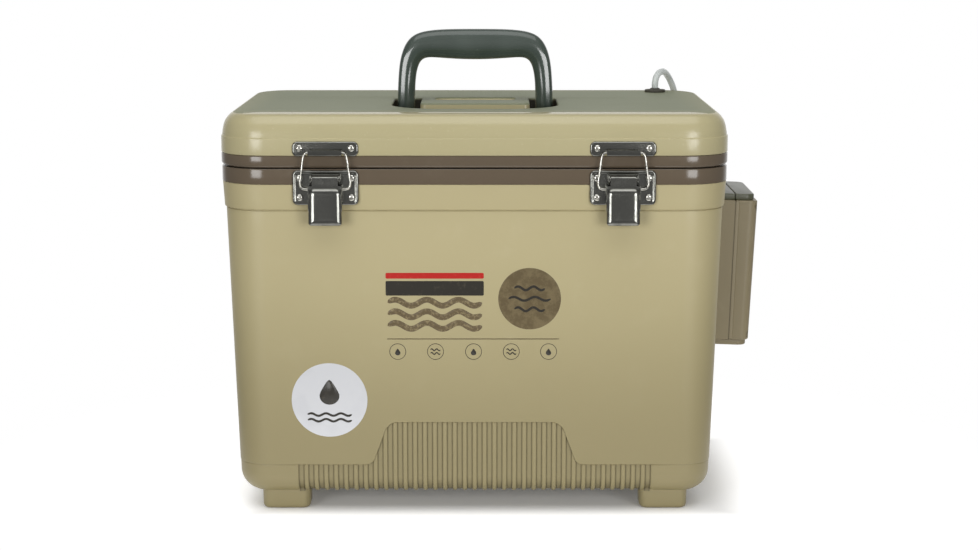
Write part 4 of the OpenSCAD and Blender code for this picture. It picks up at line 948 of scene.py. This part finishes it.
def latch(side):
    name = "left" if side < 0 else "right"
    x = side * latch_x
    keeper_h, base_h, notch = 6.3, 14.65, 16.6
    keeper_corners = [
        (-plate_half, -keeper_h, 4.5), (-notch, -keeper_h, 1.2), (-notch, -3.2, 2),
        (notch, -3.2, 2), (notch, -keeper_h, 1.2), (plate_half, -keeper_h, 4.5),
        (plate_half, keeper_h, 4.5), (-plate_half, keeper_h, 4.5),
    ]
    rim = [(0, 0)] + [(1.5 * math.cos(t) - 1.5, 0.2 + 1.5 * math.sin(t))
                      for t in spread(0, math.pi / 2, 8)]
    plate = pressed_plate(keeper_corners, x, -face_y, keeper_z, rim)
    hook_out, hook_up = -7.3, 312.3
    lip = [(hook_out, 2.2), (hook_out - 1.2, 2), (hook_out - 1.2, -1.5), (hook_out - 0.8, -2.3),
           (hook_out, -2.5), (-0.4, -2.5), (-0.4, -1.3), (hook_out, -1.3)]
    hook = [[(x + across, -face_y + out, hook_up + up * shrink) for out, up in lip]
            for across, shrink in ((-14, 0.92), (-13.6, 1), (13.6, 1), (14, 0.92))]
    keeper = piece(f"keeper_{name}", sheet, "lid", joined(plate, loft(hook, caps=(True, True))), 40)
    shown(keeper, f"latch_keeper_{name}")

    base_corners = [(-plate_half, -base_h, 4.5), (plate_half, -base_h, 4.5),
                    (plate_half, base_h, 4.5), (-plate_half, base_h, 4.5)]
    rim = [(across, rise + 0.5) for across, rise in rim]
    rim += [(-1.9, 2.16), (-2.3, 1.98), (-2.7, 1.8), (-3.1, 1.72), (-3.6, 1.7)]
    plate = pressed_plate(base_corners, x, -face_y + 0.5, base_z, rim)
    ear = [(-3.5 * math.sin(t), 3.5 * math.cos(t)) for t in spread(0, math.pi, 12)]
    ear += [(3.7, -3.5), (3.7, 3.5)]
    ears = [prism(ear, x + s - 0.7, x + s + 0.7, 0.25) for s in (-11.95, 11.95)]
    base = piece(f"latch_base_{name}", sheet, "tub", joined(plate, *ears), 40)
    shown(base, f"latch_base_plate_{name}")

    neck = [(-3, 0), (-3, -6.6), (-4.4, -9), (-4.6, -10.4), (-3.2, -10.6), (-1.6, -7.9), (-1.6, -1)]
    cheek = [(-3.8, -9), (-5.4, -12.5), (-5.2, -25), (-3.4, -27), (0.8, -20.5), (2.6, -12.4),
             (2.8, -6.8), (1.2, -4.9), (-2.6, -4.9)]
    web = [(-2.8, -5.4), (-2.8, -9), (-4, -11.5), (-4, -12.4), (-1.8, -8.6), (-1.8, -5.4)]
    parts = [rod(x, 10.8, 3), prism(neck, x - 10.8, x + 10.8), pad_skin(x),
             prism(web, x - 13.6, x + 13.6)]
    parts += [prism(cheek, x + s - 0.65, x + s + 0.65, 0.25) for s in (-13.6, 13.6)]
    lever = piece(f"lever_{name}", sheet, f"latch_lever_{name}", joined(*parts), 42)
    shown(lever, f"latch_lever_{name}")

    half = [(12.2, 0), (15.2, 0), (17.4, 0.2), (19.4, 1), (20.7, 2.8), (20.9, 5), (20.3, 9.7),
            (19.3, 17.4), (18.2, 25.6), (17.6, 28), (16.2, 29.9), (14.2, 30.6)]
    route = [(x + across, latch_y, 281.7 + up) for across, up in half]
    route += [(2 * x - px, py, pz) for px, py, pz in reversed(route)]
    bail = round_line(f"bail_{name}", wire, f"latch_bail_{name}", route, 1 * mm, 5, 12)
    shown(bail, f"latch_bail_{name}")


latch(-1)
latch(1)
dress("latch_lever_pins", wire, 0.2)
for name, body, height, rises in (("base", "tub", base_z, (-8.15, 8.15)),
                                  ("keeper", "lid", keeper_z + 0.6, (0,))):
    heads = [screw_skin(side * latch_x + across, -face_y - 1.7, height + rise, across + rise + side)
             for side in (-1, 1) for across in (-21.6, 21.6) for rise in rises]
    screws = piece(f"{name}_screw_heads", plated, body, joined(*heads), 30)
    shown(screws, f"latch_{name}_screws")
dress("handle_pins", wire, 0.3)

# ---- Hinges ----
# Two butt hinges of pressed steel at the back. One leaf is screwed to the tub and one to the lid,
# and a steel pin runs through both.
for leaves in ("hinge_tub_leaves", "hinge_lid_leaves"):
    dress(leaves, sheet, 0.3)
dress("hinge_pins", wire, 0.25)
for screws in ("hinge_tub_screws", "hinge_lid_screws"):
    dress(screws, plated, 0.3)

# ---- Air pump ----
# A narrow case on the box's right wall, which leans with it. Two halves meet on a soft seal; a
# cap and a base lip are set in, a button is on the outer face and the hose nozzle at the back.
pump_plastic = moulded("pump_plastic", (139, 128, 101), (163, 153, 127), 0.42, 0.03)
pump_cap_plastic = moulded("pump_cap_plastic", (88, 90, 72), (103, 104, 87), 0.36, 0.03)
black_plastic = moulded("black_plastic", (46, 46, 45), (74, 73, 70), 0.45, 0.03)
bracket_plastic = moulded("bracket_plastic", (66, 64, 58), (92, 89, 82), 0.5, 0.03)
pump_wall = Matrix.Translation((211.6, 0, 266.4)) @ Matrix.Rotation(math.radians(2), 4, "Y")
pump_h, pump_reach, taper, seam_x = 135, 37.5, 1.9, 18
case_low, case_top = -130, -5.6


def plan(x_low, x_high, half_d, corner, inset, z, flute):
    """The case's outline from above; a flute is [place along X, depth], cut in both sides."""
    x_edge, y_edge = x_high - inset, half_d - inset
    round_r = max(corner - inset, 0.3)
    run = [(x_low + inset, 0)]
    if flute:
        run += [(flute[0] + along, flute[1] * share) for along, share in (
            (-0.9, 0), (-0.45, 0.75), (0, 1), (0.45, 0.75), (0.9, 0))]
    row = [(x, -y_edge + depth, z) for x, depth in run]
    for side, start in ((-1, -90), (1, 0)):
        for k in range(11):
            bend = math.radians(start + 9 * k)
            row.append((x_edge - round_r + round_r * math.cos(bend),
                        side * (y_edge - round_r) + round_r * math.sin(bend), z))
    return row + [(x, y_edge - depth, z) for x, depth in reversed(run)]


def case_block(x_low, x_high, half_d, corner, low, high, soft, lean=0, flute=None):
    """A block of the case between two heights, with edges rounded to a softness."""
    steps = [(1, 0), (0.62, 0.08), (0.29, 0.29), (0.08, 0.62), (0, 1)]
    levels = [(soft * inset, low + soft * rise) for inset, rise in steps]
    levels += [(soft * inset, high - soft * rise) for inset, rise in reversed(steps)]
    return loft([plan(x_low, x_high + lean * z / pump_h, half_d, corner, inset, z, flute)
                 for inset, z in levels], caps=(True, True))


def bored(part, bores):
    """Cuts round holes through a piece: each is [place in the pump's frame, radius]."""
    for (x, y, z), radius in bores:
        drill = piece("drill", black_plastic, "tub", loft([
            [(x + along, y + radius * math.cos(t), z + radius * math.sin(t)) for t in turns(40)]
            for along in (0, 20)], caps=(True, True)), 30, pump_wall)
        cut = part.modifiers.new("bore", "BOOLEAN")
        cut.object = drill
        cut.solver = "EXACT"
        bpy.context.view_layer.update()
        shaped = bpy.data.meshes.new_from_object(part.evaluated_get(
            bpy.context.evaluated_depsgraph_get()))
        part.modifiers.clear()
        part.data = shaped
        bpy.data.objects.remove(drill)


outer_shape = case_block(seam_x, pump_reach, 50, 8, case_low, case_top, 1.1, taper, (20.6, 0.25))
outer_case = piece("pump_outer", pump_plastic, "tub", outer_shape, 32, pump_wall)
screw_y, screw_mid, screw_dz = 45, (case_low + case_top) / 2, (case_top - case_low) / 2 - 5
button_y, button_z = 18, -56
bored(outer_case, [((31.5, y, screw_mid + z), 3.05) for y in (-screw_y, screw_y)
                   for z in (-screw_dz, screw_dz)] + [((33, button_y, button_z), 7.2)])
even = outer_case.modifiers.new("even_light", "WEIGHTED_NORMAL")
even.keep_sharp = True
shown(outer_case, "pump_outer_case")
dress("pump_inner_case", pump_plastic, 0.9)
seal = moulded("pump_seal", (124, 114, 90), (140, 130, 106), 0.5)
dress("pump_seal", seal)
dress("pump_case_screws", plated, 0.25)
dress("pump_bracket", bracket_plastic, 0.4)
dress("pump_bracket_screws", plated, 0.25)

cap_parts = [case_block(2, 17.2, 47, 1.2, case_top - 0.1, -0.1, 1.1),
             case_block(17.6, 34.5, 47, 8, case_top - 0.1, 0, 1.3)]
cap = piece("pump_lid", pump_cap_plastic, "tub", joined(*cap_parts), 32, pump_wall)
shown(cap, "pump_cap")
base_shape = case_block(0.2, 33.6, 48, 8, -pump_h, case_low + 0.2, 1.2)
base_lip = piece("pump_base", pump_plastic, "tub", base_shape, 32, pump_wall)
shown(base_lip, "pump_base_cap")


def turned(name, body, profile, x, y, z, axis="X"):
    """A turned black piece in the pump's frame: profile is [along, radius] from its place."""
    rings = []
    for along, radius in profile:
        ring_points = [(radius * math.cos(t), radius * math.sin(t)) for t in turns(40)]
        if axis == "X":
            rings.append([(x + along, y + c, z + s) for c, s in ring_points])
        else:
            rings.append([(x - c, y + along, z + s) for c, s in ring_points])
    part = piece(name, black_plastic, body, loft(rings, caps=(True, True)), 35, pump_wall)
    return part


face_x = pump_reach + taper * button_z / pump_h
button = turned("button_cap", "pump_button", [
    (-2.5, 7), (0.35, 7), (0.75, 6.8), (0.97, 6.2), (0.9, 5.4), (0.62, 3.4), (0.55, 1.4),
    (0.54, 0.3)], face_x, button_y, button_z)
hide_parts("pump_button")
turned("button_ring", "tub", [
    (-0.6, 7.25), (0.2, 7.25), (0.32, 7.5), (0.34, 8.1), (0.2, 8.6), (-0.6, 8.7)],
    face_x, button_y, button_z)
nozzle = turned("hose_nozzle", "tub", [
    (-12, 4.2), (1.4, 4.2), (1.9, 3.9), (2, 2.9), (3, 2.5), (4.4, 2.8), (4.5, 2.4), (6.4, 2.8),
    (6.5, 2.4), (8.6, 2.6), (9, 2.1)], 23.7, 50, -18, "Y")
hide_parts("pump_nozzle")

# ---- Inside the pump ----
# Two cells in sleeves feed a motor by way of a board with its switch and charge socket. The
# motor's cam works a rubber diaphragm under a moulded head.
sleeve = moulded("cell_sleeve", (52, 84, 132), (84, 112, 152), 0.3, ior=1.48)
board = moulded("board", (32, 92, 54), (52, 118, 74), 0.35, ior=1.5)
motor_steel = Finish("motor_steel", Metallic=1, Roughness=0.32)
brushed = motor_steel.noise(160, 4, stretch=(1, 0.05, 1)).step(0.3, 0.7)
motor_steel.colour(motor_steel.mix(brushed, (0.5, 0.5, 0.49, 1), (0.36, 0.36, 0.35, 1)))
motor_steel.bump(brushed, 0.02)
white_plastic = moulded("white_plastic", (222, 221, 212), (202, 200, 188), 0.4)
dress("pump_battery_cells", sleeve, 0.5)
dress("pump_circuit_board", board)
dress("pump_switch", black_plastic, 0.2)
dress("pump_charge_socket", motor_steel, 0.2)
dress("pump_motor", motor_steel, 0.4)
dress("pump_cam", white_plastic, 0.2)
dress("pump_diaphragm", rubber, 0.2)
dress("pump_head", white_plastic, 0.4)

# ---- Air stone ----
# A cylinder of fused blue grit, pushed on the inside tube's end. It lies on the tub's floor and
# breaks the air into small bubbles.
stone = Finish("stone", Roughness=0.85)
grit = stone.node("TexVoronoi", inputs={"Vector": stone.place(), "Scale": 1400}, output="Distance")
stone.colour(stone.mix(grit, srgb(128, 150, 170), srgb(84, 104, 128)))
stone.bump(grit, 0.4)
dress("air_stone", stone, 0.6)

# ---- Room ----
# A pale floor that fades out round the box and glows clear of its footprint, a wide light above
# its front, and a softbox on each side of the camera, which the rounded corners mirror.
floor = Finish("floor", Roughness=0.9)
paper = floor.noise(2, 3).step(0.3, 0.7)
white = (1, 1, 1, 1)
floor.colour(floor.mix(paper, (0.93, 0.93, 0.93, 1), (0.91, 0.91, 0.91, 1)))
far = floor.node("VectorMath", {"operation": "LENGTH"}, {0: floor.place()}, "Value")
floor.feed(floor.shader.inputs["Alpha"], 1 - far.step(0.29, 0.5))
floor_x, floor_y, _ = floor.axes()
# Painted light: the floor glows white clear of the box's footprint and only faintly under it, so
# the shadow there stays dark.
clear = floor_x.math("MAXIMUM", over(abs(floor_x), 185, 50), over(abs(floor_y), 115, 35))
glow = floor.mix(clear, (0.12, 0.12, 0.12, 1), white)
floor.feed(floor.shader.inputs["Emission Color"], glow)
floor.shader.inputs["Emission Strength"].default_value = 0.6
floor_data = bpy.data.meshes.new("floor")
reach = 60
floor_data.from_pydata(
    [(-reach, -reach, 0), (reach, -reach, 0), (reach, reach, 0), (-reach, reach, 0)], [],
    [(0, 1, 2, 3)])
floor_data.materials.append(floor.material)
ground = bpy.data.objects.new("floor", floor_data)
bpy.context.scene.collection.objects.link(ground)


def softbox(name, place, target, width, height, power):
    """An area light that faces a target; all in metres from the box's middle."""
    lamp = bpy.data.lights.new(name, "AREA")
    lamp.shape = "RECTANGLE"
    lamp.size, lamp.size_y, lamp.energy = width, height, power
    holder = bpy.data.objects.new(name, lamp)
    holder.location = middle + Vector(place)
    aim = Vector(target) - Vector(place)
    holder.rotation_euler = aim.to_track_quat("-Z", "Y").to_euler()
    bpy.context.scene.collection.objects.link(holder)


softbox("overhead", (0, -1, 2.7), (0, 0, 0.1), 3.4, 2.2, 44)
softbox("left_softbox", (-1, -1.8, 0.42), (-0.1, -0.14, 0.25), 0.8, 0.74, 14)
softbox("right_softbox", (1, -1.8, 0.42), (0.1, -0.14, 0.25), 0.8, 0.74, 14)

# The world is dim in front of the box and pale behind it, and plain white to the camera.
world = bpy.data.worlds.new("studio")
bpy.context.scene.world = world
world.use_nodes = True
sky = world.node_tree
back = sky.nodes["Background"]
way = sky.nodes.new("ShaderNodeTexCoord")
split = sky.nodes.new("ShaderNodeSeparateXYZ")
slope = sky.nodes.new("ShaderNodeMapRange")
for key, value in (("From Min", 0.55), ("From Max", 0.95), ("To Min", 0.22), ("To Max", 1)):
    slope.inputs[key].default_value = value
rays = sky.nodes.new("ShaderNodeLightPath")
shade = sky.nodes.new("ShaderNodeMix")
shade.inputs[3].default_value = 1
for output, socket in (
        (way.outputs["Generated"], split.inputs[0]), (split.outputs["Y"], slope.inputs["Value"]),
        (slope.outputs["Result"], shade.inputs[2]),
        (rays.outputs["Is Camera Ray"], shade.inputs[0]),
        (shade.outputs[0], back.inputs["Strength"])):
    sky.links.new(output, socket)
back.inputs["Color"].default_value = white
bpy.context.scene.view_settings.view_transform = "Standard"
